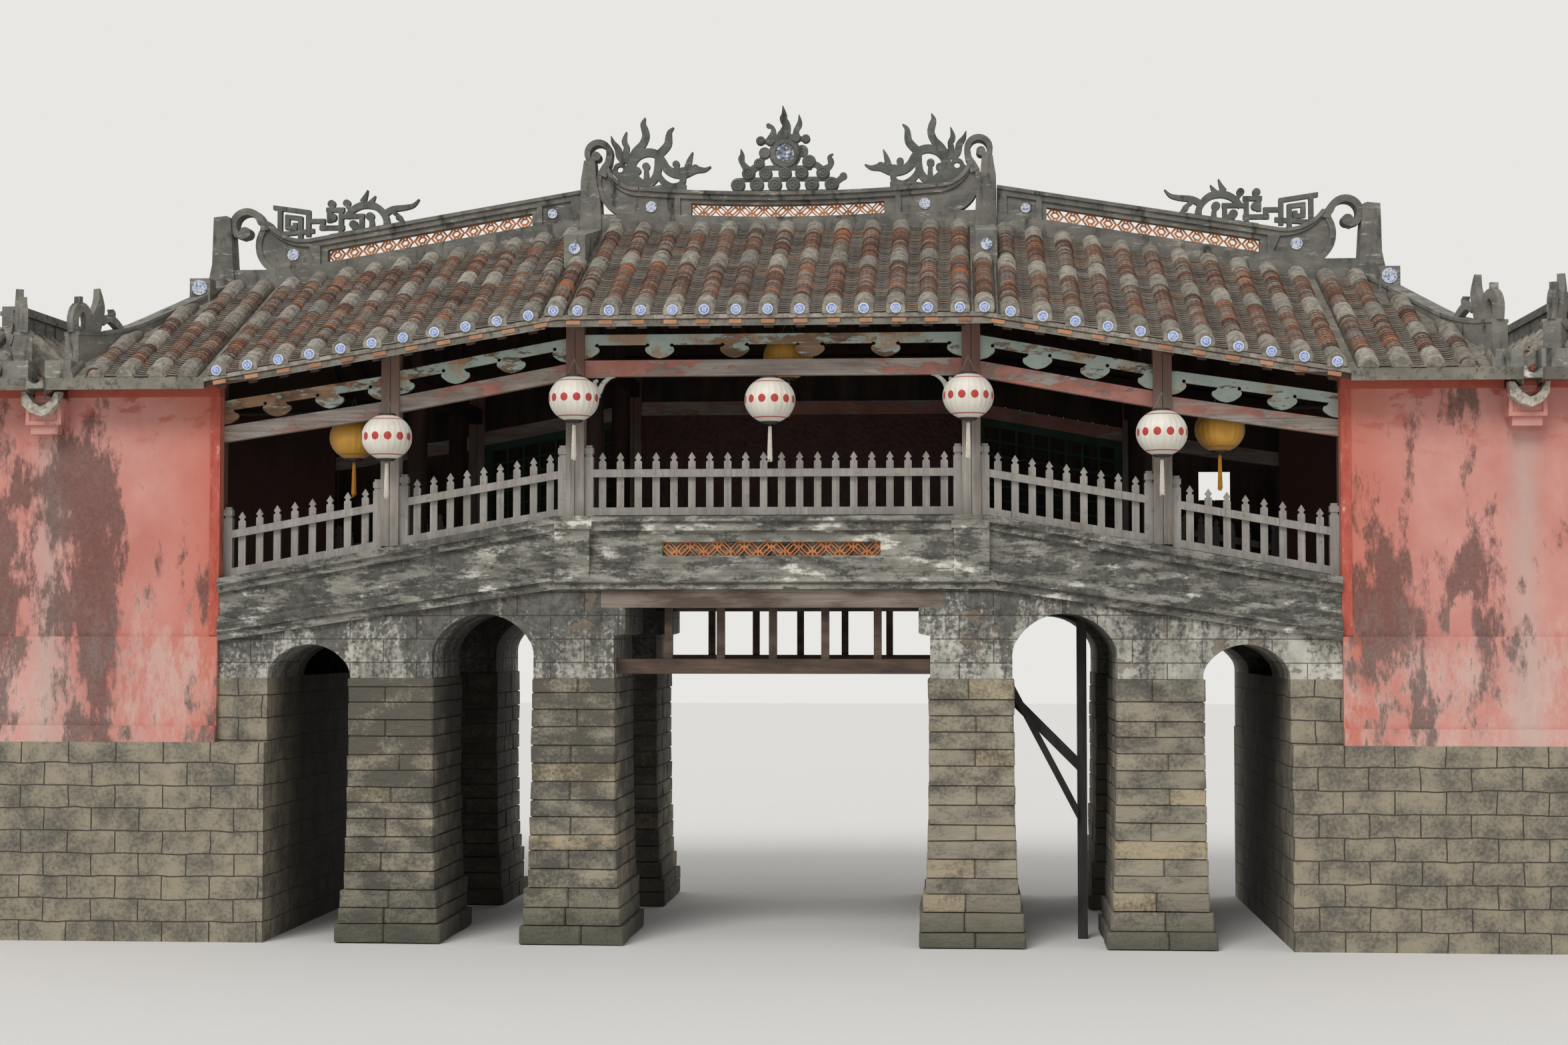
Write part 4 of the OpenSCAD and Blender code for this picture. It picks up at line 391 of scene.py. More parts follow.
paving = Finish("brick_paving", 0.9)
laid_bricks = {
    "Vector": paving.place, "Scale": 1.0, "Mortar Size": 0.004, "Brick Width": 0.23, "Row Height": 0.11,
    "Color1": hexed("96705c"), "Color2": hexed("7c6253"), "Mortar": hexed("4a433c")}
worn = paving.noise(6)
paving.relief(paving.node("TexBrick", laid_bricks, "Fac", offset=0.5) * -1.0, 0.006)
paving.relief(worn, 0.008)
paving.tint = paving.node("TexBrick", laid_bricks, "Color", offset=0.5)
paving.over("8c8072", paving.between(worn, 0.35, 0.75))
paving.done("gate_floors")

# Parapets: moulded lime stucco over brick, grey with black mould that lies on the ledges and runs down from
# them, with whitish patches where it has been made good, and painted shade on the faces that look down.
stucco = Finish("parapet_stucco", 0.92)
cloud = stucco.noise(2.1, (1, 1, 2.2), detail=8, rough=0.62)
streak = stucco.noise(6.0, (0.42, 0.42, 1.7), detail=8, rough=0.7)
grit = stucco.noise(28, detail=8, rough=0.75)
stucco.tint = stucco.graded(cloud, 0.36, 0.68, "75736a", "bcb9ac")
mended = stucco.between(stucco.noise(1.9, (1, 1, 2.6), detail=5), 0.57, 0.62)
stucco.over("e2dfd4", mended, 0.85)
upward = stucco.facing("Z")
mould = (streak + cloud) * 0.5 + upward * 0.05
mould += stucco.noise(3.1, (0.55, 0.55, 1.9), detail=8, rough=0.64) * 0.34
middle = stucco.between(stucco.away("X"), 2.7, 2.2)
mould -= middle * 0.035
mould = stucco.between(mould + grit * 0.22, 0.71, 0.8)
black = stucco.graded(stucco.noise(11, detail=9, rough=0.8), 0.42, 0.6, "21201d", "55544d")
stucco.over(black, mould, 0.88)
# Painted shade: faces that look down are darkened, as shade falls under the ledges.
stucco.over("2f2e2a", stucco.between(upward, -0.2, -0.6), 0.7)
stucco.relief(grit, 0.006)
stucco.relief(cloud, 0.012)
stucco.done("parapets_centre", "parapets_side", "valley_gutters")

# Pierced tiles: pressed terracotta, orange where it is clean and browner where soot and lichen hold.
clay = Finish("pierced_terracotta", 0.85)
soot = clay.noise(9, detail=7, rough=0.7)
clay.tint = clay.graded(clay.noise(2.3), 0.35, 0.65, "b56f40", "d08c58")
clay.over("6a4a38", clay.between(soot, 0.5, 0.72))
clay.relief(clay.noise(60), 0.003)
clay.done("parapet_frets", "ridge_frets")

# Posts and beams of the outer frame: square posts of two halves spiked together, bleached grey low down and
# red-brown under the eaves, and eave beams with old red paint that flakes to grey wood.
POST_X = (2.285, 4.455)
posts = timber("post_timber", "b3aca2", "7b736b", 2, wear=0.8)
broad = posts.noise(5, (1, 1, 0.22), detail=5)
height = posts.between(posts.axis("Z") + broad * 0.8, 6.1, 7.0)
posts.over("774c3e", height, 0.75)
for x in POST_X:
    posts.over("2b2522", posts.between(abs(posts.away("X") - x), 0.005, 0.003))
posts.done("outer_posts")


def flaking(name, wood_pale, wood_deep, paints, worn_at, along=0):
    """Painted timber: a coat of two shades over bare wood, broken up where the noise is over worn_at."""
    wood = timber(name, wood_pale, wood_deep, along)
    stretch = [1.0, 1.0, 1.0]
    stretch[along] = 0.3
    flakes = wood.noise(11, stretch, detail=8, rough=0.72)
    area = wood.noise(1.3, stretch, detail=3)
    gone = wood.between(flakes * 0.6 + area * 0.55, worn_at, worn_at + 0.02)
    shade = wood.graded(wood.noise(3.1, detail=6), 0.35, 0.65, paints[0], paints[1])
    wood.relief(gone * -1.0, 0.002)
    wood.tint = wood.mixed(gone, shade, wood.tint)
    return wood


beam = flaking("beam_paint", "c6bab0", "988a80", ("c2897b", "a66e61"), 0.57)
outer = beam.between(beam.away("X"), 4.4, 4.5)
bare = beam.between(beam.noise(7, (0.25, 1, 1), detail=6), 0.6, 0.5)
grain = beam.noise(34, (0.035, 1, 1), detail=7, rough=0.7)
grey = beam.graded(grain, 0.35, 0.65, "7d736a", "b8aea5")
beam.over(grey, outer, bare)
beam.done("eave_beams")

# Fascia boards and brackets: fretsawn boards with cloud drops, pale blue-green paint over tan undercoat,
# and carved scroll brackets with chalky white paint.
fascia = flaking("fascia_paint", "b08d70", "6d5646", ("bcc8be", "a5b4aa"), 0.6)
tan = fascia.between(fascia.noise(2.4, detail=5), 0.52, 0.6)
fascia.over("b58a68", tan, 0.75)
fascia.done("fascias")

bracket = flaking("bracket_paint", "a59a8c", "6a6056", ("d5d2ca", "bdb9b0"), 0.64)
bracket.done("scroll_brackets")

# Picket fences: sawn pickets nailed behind two rails between newels, never painted, bleached silver-grey.
# Each picket has its own shade.
PICKET_STEP = 0.218
fence = timber("fence_timber", "bebab3", "8b867f", 2, wear=0.9)
fence.over("8d867d", fence.per_strip("X", PICKET_STEP), 0.4)
lichen = fence.between(fence.noise(14, detail=8, rough=0.75), 0.56, 0.68)
fence.over("4c4740", lichen, 0.5)
fence.done("fence_centre", "fences_side", "fences_rear")

# Rear screen and lattices: folding leaves of red-brown lacquered wood with carved panels, and side lattices
# painted dark green.
lacquer = flaking("screen_lacquer", "5a3c2e", "2c1b15", ("5e2d22", "44201a"), 0.7, 2)
lacquer.shader.inputs["Roughness"].default_value = 0.5
carving = lacquer.node("TexVoronoi", {"Vector": lacquer.place, "Scale": 16.0}, feature="SMOOTH_F1")
lacquer.relief(carving, 0.01)
lacquer.done("rear_screen")

lattice = flaking("lattice_paint", "6a5a48", "3b3027", ("3f5a49", "32483c"), 0.66, 2)
lattice.done("rear_lattices")

# Back of the gallery: upright hardwood boards behind the lattices and over the screen, up to the plate, as
# painted shade: a dark sheet so that the gallery is dark behind its open front. Those of the outer bays close
# the open back as a dark sheet for the shade beyond; they hang outside the posts, clear of the fence, with
# one small window in the right bay.
SHADE_BOARD_W = 0.19
HALF_BOARD = 0.011
BOARD_LAP = 0.03
INNER_BAY = (2.39, 4.35)
OUTER_BAY = (4.56, 6.43)
LATTICE_Y = 2.594
LATTICE_BOARDS = ((4.93, 4.6), (6.47, 6.115))
OUTSIDE_Y = 2.672
OUTSIDE_BOARDS = ((4.565, 4.25), (6.08, 5.81))
WINDOW_X = (5.38, 5.8)
WINDOW_Z = (5.31, 5.75)
TRANSOM_Y = 2.55
TRANSOM_X = (-2.175, 2.175)
TRANSOM_Z = (6.71, 7.145)
INNER_TRANSOMS = ((6.685, 6.325), (7.13, 6.81))
OUTER_TRANSOMS = ((6.26, 5.985), (6.77, 6.47))
# Dark wood put where the gallery and the open bays behind it are in shade: painted shade.
shade_backing = timber("shade_backing_timber", "54443a", "2f2621", 2)
shade_backing.over("3a2c25", shade_backing.per_stone(), 0.5)
shade_backing.done()


def beam_heights(bay, heights):
    """The foot and the head of boards over a bay, the same at both ends of the bridge."""
    return [lambda x, first=first, last=last: first + (last - first) * (abs(x) - bay[0]) / (bay[1] - bay[0])
            for first, last in heights]


def shade_backing_boards(bay, y, foot, head):
    """Upright boards side by side over a bay, from a foot to a head, each even or following the beams."""
    x0, x1 = bay
    count = round((x1 - x0) / SHADE_BOARD_W)
    cuts = [x0 + (x1 - x0) * k / count for k in range(count + 1)]
    boards = []
    for left, right in zip(cuts, cuts[1:]):
        low, high = (z((left + right) / 2) if callable(z) else z for z in (foot, head))
        boards.append(box_place((left, y - HALF_BOARD, low - BOARD_LAP),
                                (right, y + HALF_BOARD, high + BOARD_LAP)))
    return boards


behind, hung = [], []
above = shade_backing_boards(TRANSOM_X, TRANSOM_Y, *TRANSOM_Z)
for end in (-1, 1):
    inner, outer = (tuple(sorted(end * x for x in bay)) for bay in (INNER_BAY, OUTER_BAY))
    behind += shade_backing_boards(inner, LATTICE_Y, *beam_heights(INNER_BAY, LATTICE_BOARDS))
    above += shade_backing_boards(inner, TRANSOM_Y, *beam_heights(INNER_BAY, INNER_TRANSOMS))
    foot, head = beam_heights(OUTER_BAY, OUTSIDE_BOARDS)
    if end < 0:
        hung += shade_backing_boards(outer, OUTSIDE_Y, foot, head)
    else:
        hung += shade_backing_boards((OUTER_BAY[0], WINDOW_X[0]), OUTSIDE_Y, foot, head)
        hung += shade_backing_boards((WINDOW_X[1], OUTER_BAY[1]), OUTSIDE_Y, foot, head)
        hung += shade_backing_boards(WINDOW_X, OUTSIDE_Y, foot, WINDOW_Z[0])
        hung += shade_backing_boards(WINDOW_X, OUTSIDE_Y, WINDOW_Z[1], head)
    above += shade_backing_boards(outer, TRANSOM_Y, *beam_heights(OUTER_BAY, OUTER_TRANSOMS))
for name, places in (("lattice_shade_backings", behind), ("outer_bay_shade_boards", hung), ("transom_shade_boards", above)):
    laid(name, bevelled_block(0.02), places, shade_backing.material, 0.002)

# Gatehouses: brick walls under lime plaster with a pink wash, bleached low down and specked with mould,
# with a dark red band on the cornice and a red strip at the inner corner, and painted shade on the faces
# inside the gatehouse. The spout hoppers are of the same plaster.
STRIP_W = 0.115
GATE_X = 6.43
CORNICE_Z = 6.3
STRIP_FOOT = 3.52
HOPPER_X = 8.45
wash = Finish("pink_plaster", 0.93)
cloud = wash.noise(0.9, (1, 1, 0.8), detail=8, rough=0.62)
grit = wash.noise(26, detail=9, rough=0.78)
specks = wash.noise(5.5, (1, 1, 0.35), detail=9, rough=0.78)
height = wash.axis("Z")
wash.tint = wash.graded(cloud, 0.34, 0.66, "c27b70", "d59c91")
corner = wash.between(wash.away("X"), 7.3, 6.5)
wash.over("c66f5b", corner, 0.75)
blush = wash.between(wash.noise(2.6, (1, 1, 1.8), detail=6), 0.56, 0.62)
wash.over("b24b3e", blush * wash.between(height, 5.4, 6.3), 0.7)
low = wash.between(height + cloud * 1.8, 5.4, 4.1)
bleached = wash.between(low * 0.2 + specks, 0.62, 0.76)
wash.over("d2b9ae", bleached, 0.6)
beside = abs(wash.away("X") - HOPPER_X)
drip = wash.between(beside + specks * 0.5, 0.52, 0.2)
drip *= wash.between(height, 6.0, 5.7)
wash.over("b9aea4", drip, 0.6)
field = wash.noise(0.85, (1.15, 1.15, 0.5), detail=5, rough=0.62)
mould = specks * 0.5 + field * 0.75
beyond = wash.between(wash.away("X"), 8.5, 9.2)
mould += beyond * wash.between(height, 6.3, 5.6) * 0.07
mould += wash.between(wash.axis("X"), -6.0, -7.0) * 0.05
mould = wash.between(mould, 0.665, 0.72)
wash.over("3d3834", mould * (grit * 0.7 + 0.34))
band = wash.between(height, CORNICE_Z - 0.004, CORNICE_Z)
wash.over("b7553f", band, 0.85)
# Painted shade on the faces inside the gatehouse, within its walls.
inside_painted_shade = wash.between(wash.away("Y"), 2.62, 2.6) * wash.between(wash.away("X"), 9.93, 9.91)
wash.over("4b3a33", inside_painted_shade, 0.9)
wash.relief(grit, 0.004)
wash.relief(cloud, 0.015)
wash.done("gate_walls", "end_jambs", "end_heads", "spout_hoppers")

red = Finish("red_strip", 0.9)
worn = red.noise(12, (1, 1, 0.4), detail=8, rough=0.75)
red.tint = red.graded(worn, 0.35, 0.6, "a8483b", "bf6352")
red.over("c9b5a6", red.between(worn, 0.6, 0.66))
red.relief(worn, 0.004)
red.done()
strips = []
for side in (-1, 1):
    for face in (-1, 1):
        xs = sorted((side * (GATE_X - 0.001), side * (GATE_X + STRIP_W)))
        ys = sorted((face * (FACE_Y + 0.016), face * (FACE_Y - 0.02)))
        strips.append(box_place((xs[0], ys[0], STRIP_FOOT), (xs[1], ys[1], CORNICE_Z)))
laid("corner_strips", bevelled_block(0.02), strips, red.material, 0.003)

spout = Finish("spout_mortar", 0.92)
lump = spout.noise(18, detail=8, rough=0.7)
spout.relief(lump, 0.008)
spout.tint = spout.graded(lump, 0.4, 0.66, "c9c2b3", "7d7468")
spout.done()


def drawn_out(shape, length, flare=1.0, cuts=1, rise=0.0):
    """Draws the one face of a bmesh out along y into a solid, in equal steps."""
    face = shape.faces[:][0]
    for step in range(cuts):
        made = bmesh.ops.extrude_face_region(shape, geom=[face])["geom"]
        ends = [v for v in made if isinstance(v, bmesh.types.BMVert)]
        bmesh.ops.scale(shape, verts=ends, vec=(flare ** (1 / cuts), 1, flare ** (1 / cuts)))
        bmesh.ops.translate(shape, verts=ends, vec=(0, length / cuts, rise / cuts))
        if step:
            bmesh.ops.delete(shape, geom=[face], context="FACES_ONLY")
        face = [f for f in made if isinstance(f, bmesh.types.BMFace)][0]
    bmesh.ops.recalc_face_normals(shape, faces=shape.faces[:])
    shape.verts.index_update()
    return shape


def outlined(points):
    """A bmesh with one flat face in the plane of x and z."""
    made = bmesh.new()
    made.faces.new([made.verts.new((x, 0, z)) for x, z in points])
    return made


LIP_Y = 3.05
LIP_Z = 6.185
LIP_DEPTH = 0.15
LIP_OUTLINE = [(-0.225, 0.15), (-0.215, 0.0), (-0.11, -0.09), (0.02, -0.135), (0.13, -0.08),
               (0.21, 0.02), (0.225, 0.15), (0.17, 0.15), (0.13, 0.06), (0.06, 0.0), (0, -0.02),
               (-0.08, 0.03), (-0.17, 0.15)]
lips = [Matrix.Translation((side * HOPPER_X, face * LIP_Y - LIP_DEPTH / 2, LIP_Z))
        for side in (-1, 1) for face in (-1, 1)]
lip = drawn_out(outlined(LIP_OUTLINE), LIP_DEPTH, cuts=3)
laid("spout_lips", lip, lips, spout.material, 0.008, 14)

# Roof boards and mortar: the planes of the roofs are boards on rafters under a bed of warm grey lime
# mortar, and the underside shows the boards and the rafters.
bed = Finish("roof_mortar", 0.95)
lump = bed.noise(14, detail=8, rough=0.7)
bed.tint = bed.graded(bed.noise(1.7, detail=6), 0.35, 0.65, "66625a", "8f897d")
bed.over("46413b", bed.between(lump, 0.5, 0.68))
under = bed.between(bed.facing("Z"), -0.25, -0.3)
bed.over("4a3a30", under)
bed.relief(lump, 0.008)
bed.done("roof_centre_front", "roof_centre_rear", "roofs_side_front", "roofs_side_rear",
         "gate_roofs_inner", "gate_roofs_outer")
ROLL_STEP = 0.36
BARE = 0.145
EAVE = 3.25
RIDGE_Z = 8.68
PITCH = 0.4708
SIDE_X = 2.4
SIDE_FALL = 0.165
BRIDGE_END = 6.48
GATE_RIDGE_Z = 8.007
GATE_RIDGE_END = 7.026
VALLEY_X = 7.15
VALLEY_REACH = 1.2
VALLEY_PITCH = 1.53 / VALLEY_REACH
OUTER_RIDGE_X = 9.375
OUTER_RIDGE_Z = 7.252
OUTER_REACH = 0.825
OUTER_PITCH = 0.775 / OUTER_REACH
OUTER_HIP_Y = 1.7
HIP_REACH = 1.55
HIP_PITCH = 0.5


class Slope:
    """One roof plane: where its ridge starts, which way it falls, how steeply, and how it falls sideways."""

    def __init__(self, start, heading, pitch, fall=0.0):
        self.start = Vector(start)
        self.heading = Vector((*heading, 0))
        self.across = Vector((-heading[1], heading[0], 0))
        self.pitch = pitch
        self.fall = fall
        self.down = (self.heading - Vector((0, 0, pitch))).normalized()
        self.plan = math.cos(math.atan(pitch))

    def spot(self, u, d):
        """The point u metres across and d metres out from the start of the ridge."""
        sunk = Vector((0, 0, d * self.pitch + abs(u) * self.fall))
        return self.start + self.across * u + self.heading * d - sunk

    def place(self, u, d, lift=0.0, size=(1, 1, 1), roll=0.0, upright=False):
        """A matrix with x across, y down the slope and z out of it, d metres out from the ridge on plan."""
        lean = self.heading * self.pitch + self.across * self.fall * (1 if u >= 0 else -1)
        out = (lean + Vector((0, 0, 1))).normalized()
        down, up = (self.heading, Vector((0, 0, 1))) if upright else (self.down, out)
        turned = Matrix((down.cross(up), down, up)).transposed().to_4x4()
        placed = Matrix.Translation(self.spot(u, d) + out * lift) @ turned @ Matrix.Rotation(roll, 4, "Z")
        return placed @ Matrix.Diagonal((*size, 1))


def tile_lines():
    """Every roof plane with its rows of rolls: (group, plane, [(offset, start, end)], kind of eave)."""
    lines = []
    for face in (-1, 1):
        side = "front" if face < 0 else "rear"
        plane = Slope((0, 0, RIDGE_Z), (0, face), PITCH)
        rows = [(i * ROLL_STEP, BARE, EAVE) for i in range(-6, 7)] + [(2.435, 1.5, EAVE), (-2.435, 1.5, EAVE)]
        lines.append(("middle_" + side, plane, rows, "bridge"))
        for end in (-1, 1):
            plane = Slope((end * SIDE_X, 0, RIDGE_Z), (0, face), PITCH, SIDE_FALL)
            turn = end * -face
            rows = [(turn * (0.315 + i * ROLL_STEP), BARE, EAVE) for i in range(11)]
            lines.append((("left_" if end < 0 else "right_") + side, plane, rows, "bridge"))
            plane = Slope((end * BRIDGE_END, 0, GATE_RIDGE_Z), (0, face), PITCH)
            rows = []
            for i in range(11, 16):
                x = 2.715 + i * ROLL_STEP
                if x < 8.1:
                    start = BARE if x < GATE_RIDGE_END else BARE + (x - GATE_RIDGE_END) / 1.024 * 2.805
                    rows.append((turn * (x - BRIDGE_END), start, EAVE))
            lines.append(("gates_inner", plane, rows, "gate"))
    for end in (-1, 1):
        plane = Slope((end * VALLEY_X, 0, GATE_RIDGE_Z), (end, 0), VALLEY_PITCH)
        rows = [(i * ROLL_STEP, 0.372 + 0.2816 * abs(i * ROLL_STEP), VALLEY_REACH) for i in range(-7, 8)]
        lines.append(("gates_inner", plane, rows, "valley"))
        for heading in (-1, 1):
            plane = Slope((end * OUTER_RIDGE_X, 0, OUTER_RIDGE_Z), (heading, 0), OUTER_PITCH)
            reach = 0.72 if heading == end else OUTER_REACH
            rows = [(u, BARE + max(0, abs(u) - OUTER_HIP_Y) / 1.31 * 0.68, reach)
                    for u in (i * ROLL_STEP for i in range(-7, 8))]
            lines.append(("gates_outer", plane, rows, "gate" if heading == end else "valley"))
        for face in (-1, 1):
            plane = Slope((end * OUTER_RIDGE_X, face * OUTER_HIP_Y, OUTER_RIDGE_Z), (0, face), HIP_PITCH)
            rows = [(i * ROLL_STEP, 0.36 + abs(i * ROLL_STEP) / 0.645 * 1.19, HIP_REACH) for i in (-1, 0, 1)]
            lines.append(("gates_outer", plane, rows, "gate"))
    return lines


RAFTER_RUNS = ((0.12, 1.08), (1.3, 2.44), (2.66, 3.235))
RAFTER_DROP = 0.148
rafter_wood = timber("rafter_timber", "6b4a3a", "3b2922", 1)
rafter_wood.done()
rafters = []
for group, plane, rows, kind in tile_lines():
    if kind == "bridge":
        for u, start, end in rows:
            if abs(u) < SIDE_X or group[:6] != "middle":
                for d0, d1 in RAFTER_RUNS:
                    size = (0.11, (d1 - d0) / plane.plan, 0.05)
                    rafters.append(plane.place(u, (d0 + d1) / 2, -RAFTER_DROP, size))
laid("rafters", bevelled_block(0.04), rafters, rafter_wood.material, 0.002)

# Tiles: half-round cover tiles in rolls 0.36 m apart, each lapping all but 80 mm of the next, over dished
# tiles in the troughs. Hand-made clay, dark brown-red with some orange ones, grimy in the troughs.
TILE_SHOWS = 0.08
TILE_LENGTH = 0.092
TILE_R = 0.099
PAN_SHOWS = 0.07
PAN_LENGTH = 0.082


def half_round(radius, length, flare, segments=12, cuts=1):
    """A solid half-round lying along y, its flat side down, wider at its far end by flare."""
    tile = bmesh.new()
    bmesh.ops.create_circle(tile, cap_ends=True, segments=segments, radius=radius)
    bmesh.ops.rotate(tile, verts=tile.verts, matrix=Matrix.Rotation(math.pi / 2, 3, "X"))
    bmesh.ops.bisect_plane(tile, geom=tile.verts[:] + tile.edges[:] + tile.faces[:], plane_co=(0, 0, 0),
                           plane_no=(0, 0, -1), clear_outer=True)
    return drawn_out(tile, length, flare, cuts)


def fired(name, shades, grime, painted_lap_shade=True):
    """Burnt clay of two shades with a third on a few tiles, sooty in places, with painted shade under each
    lap.
    """
    clay = Finish(name, 0.8)
    each = clay.per_stone()
    clay.tint = clay.graded(each, 0.0, 0.8, shades[0], shades[1])
    clay.over(shades[2], clay.between(each, 0.9, 0.96))
    soot = clay.noise(2.3, detail=8, rough=0.7)
    clay.over("37302b", clay.between(soot, 0.42, 0.66) * grime)
    fine = clay.noise(45, detail=6, rough=0.7)
    clay.over("8b7a6c", clay.between(fine, 0.57, 0.75), 0.4)
    # Painted shade: each tile darker towards its head, where the tile above laps over it.
    if painted_lap_shade:
        lap_shade_mask = clay.between(clay.node("Attribute", (), "Fac", attribute_name="along"), 0.62, 0.2)
        clay.over("191512", lap_shade_mask, 0.92)
    clay.relief(fine, 0.003)
    return clay.done()


cover_clay = fired("cover_tiles", ("5d3d31", "95684f", "c27a4e"), 0.5)
pan_clay = fired("pan_tiles", ("736b61", "948a7e", "a47d62"), 0.6)
cover_tile = half_round(TILE_R, TILE_LENGTH, 1.12)
PAN_OUTLINE = [(-0.088, 0), (0.088, 0), (0.088, 0.03), (0.045, 0.011), (0, 0.006), (-0.045, 0.011),
               (-0.088, 0.03)]
pan_tile = drawn_out(outlined(PAN_OUTLINE), PAN_LENGTH, rise=0.012)
covers, pans = {}, {}
dice = random.Random(4)
for group, plane, rows, kind in tile_lines():
    for u, start, end in rows:
        step = TILE_SHOWS * plane.plan
        for k in range(int((end - start - 0.02) / step)):
            size = dice.uniform(0.93, 1.04)
            covers.setdefault(group, []).append(plane.place(
                u + dice.uniform(-0.003, 0.003), start + k * step, 0.015 + dice.uniform(-0.002, 0.003),
                (size, 1, size), dice.uniform(-0.025, 0.025)))
    rows = sorted(rows)
    for (u, start, end), (u2, start2, end2) in zip(rows, rows[1:]):
        if abs(u2 - u - ROLL_STEP) > 0.01:
            continue
        step = PAN_SHOWS * plane.plan
        start = max(start, start2)
        for k in range(int((end - start) / step)):
            pans.setdefault(group, []).append(plane.place(
                (u + u2) / 2 + dice.uniform(-0.003, 0.003), start + k * step,
                0.002 + dice.uniform(0, 0.003), (1, 1, 1), dice.uniform(-0.02, 0.02)))
for group in covers:
    laid("cover_tiles_" + group, cover_tile, covers[group], cover_clay, marked=True)
    laid("pan_tiles_" + group, pan_tile, pans[group], pan_clay, marked=True)

# Mortar on the rolls: caps of lime mortar under the ridge, a mended band halfway down and a cap at the
# eave, with a blue and white porcelain disc in the end of each roll of the bridge roof.
DISC_R = 0.06
ROLL_R = 0.1155
CAP_LIFT = 0.013
mortar = Finish("cap_mortar", 0.95)
lump = mortar.noise(11, detail=8, rough=0.7)
mortar.tint = mortar.mixed(mortar.per_stone(), "878176", "ada598")
mortar.over("4e4a43", mortar.between(lump, 0.42, 0.66), 0.8)
mortar.relief(lump, 0.012)
mortar.done()
# The fillets beside the rolls: mortar dark with grime and with painted shade, for the dark lines beside each
# roll.
grime_and_shade = Finish("grime_and_shade_mortar", 0.95)
lump = grime_and_shade.noise(15, detail=8, rough=0.7)
grime_and_shade.relief(lump, 0.008)
grime_and_shade.tint = grime_and_shade.graded(lump, 0.4, 0.62, "5d564d", "35302b")
grime_and_shade.done()
PLATE_OUTLINE = [(-0.107, -0.045), (0.107, -0.045), (0.107, 0.01), (0.095, 0.055), (0.066, 0.09),
                 (0.025, 0.107), (-0.025, 0.107), (-0.066, 0.09), (-0.095, 0.055), (-0.107, 0.01)]
caps, plates, knobs, discs, fillets = [], [], [], [], []
for group, plane, rows, kind in tile_lines():
    for u, start, end in rows:
        reach = end - start
        top = (0.38 if kind == "bridge" else 0.5) * plane.plan * dice.uniform(0.85, 1.1)
        if start > 1.0 and kind == "bridge":
            top = 0.2
        size = (dice.uniform(0.98, 1.03), min(top, reach) / plane.plan, 1.03)
        caps.append(plane.place(u, start + 0.005, CAP_LIFT, size))
        if reach > 2:
            mid = start + reach * dice.uniform(0.36, 0.46)
            size = (1, 0.45 * dice.uniform(0.8, 1.15), dice.uniform(0.98, 1.04))
            caps.append(plane.place(u, mid, CAP_LIFT, size))
        if reach > 0.6 and kind != "valley":
            foot = 0.33 * dice.uniform(0.85, 1.1)
            caps.append(plane.place(u, end - foot * plane.plan - 0.012, CAP_LIFT, (1.02, foot, 1.03)))
        fillets.append(plane.place(u, start, 0.0, (1.12, (reach - 0.02) / plane.plan, 0.5)))
        if kind == "bridge":
            plates.append(plane.place(u, end - 0.018, 0.035, upright=True))
            discs.append(plane.place(u, end + 0.012, 0.06, upright=True))
        elif kind == "gate":
            knobs.append(plane.place(u, end - 0.09, 0.014))
cap = half_round(ROLL_R, 1.0, 1.0, segments=16, cuts=5)
fillet = half_round(ROLL_R, 1.0, 1.0, segments=12, cuts=14)
knob = half_round(0.115, 0.1, 0.7, segments=16)
for name, pattern, places, material, uneven, grain in (
        ("caps", cap, caps, mortar.material, 0.006, 12),
        ("fillets", fillet, fillets, grime_and_shade.material, 0.008, 16),
        ("end_plates", drawn_out(outlined(PLATE_OUTLINE), 0.03), plates, mortar.material, 0.002, 20),
        ("end_knobs", knob, knobs, mortar.material, 0.005, 14)):
    laid("roll_" + name, pattern, places, material, uneven, grain)

glazed = Finish("painted_porcelain", 0.22)
vine = glazed.noise(70, detail=3, rough=0.6)
glazed.tint = glazed.graded(vine, 0.4, 0.6, "b9c6e6", "5b76bd")
glazed.over("8f8d84", glazed.between(glazed.noise(20), 0.58, 0.78))
glazed.done()
white = Finish("white_porcelain", 0.25)
white.tint = white.graded(white.noise(30, detail=6), 0.5, 0.7, "dfe3ec", "a5a8b0")
white.done()


def round_plate(radius, depth):
    """A thin disc that faces along y, a little smaller at its front."""
    plate = bmesh.new()
    bmesh.ops.create_circle(plate, cap_ends=True, segments=20, radius=radius)
    bmesh.ops.rotate(plate, verts=plate.verts, matrix=Matrix.Rotation(math.pi / 2, 3, "X"))
    return drawn_out(plate, depth, 0.9)


for name, share, depth, glaze in (("rims", 1, 0.005, white), ("faces", 0.86, 0.008, glazed),
                                  ("rosettes", 0.42, 0.01, white), ("centres", 0.3, 0.012, glazed)):
    laid("eave_disc_" + name, round_plate(DISC_R * share, depth), discs, glaze.material)

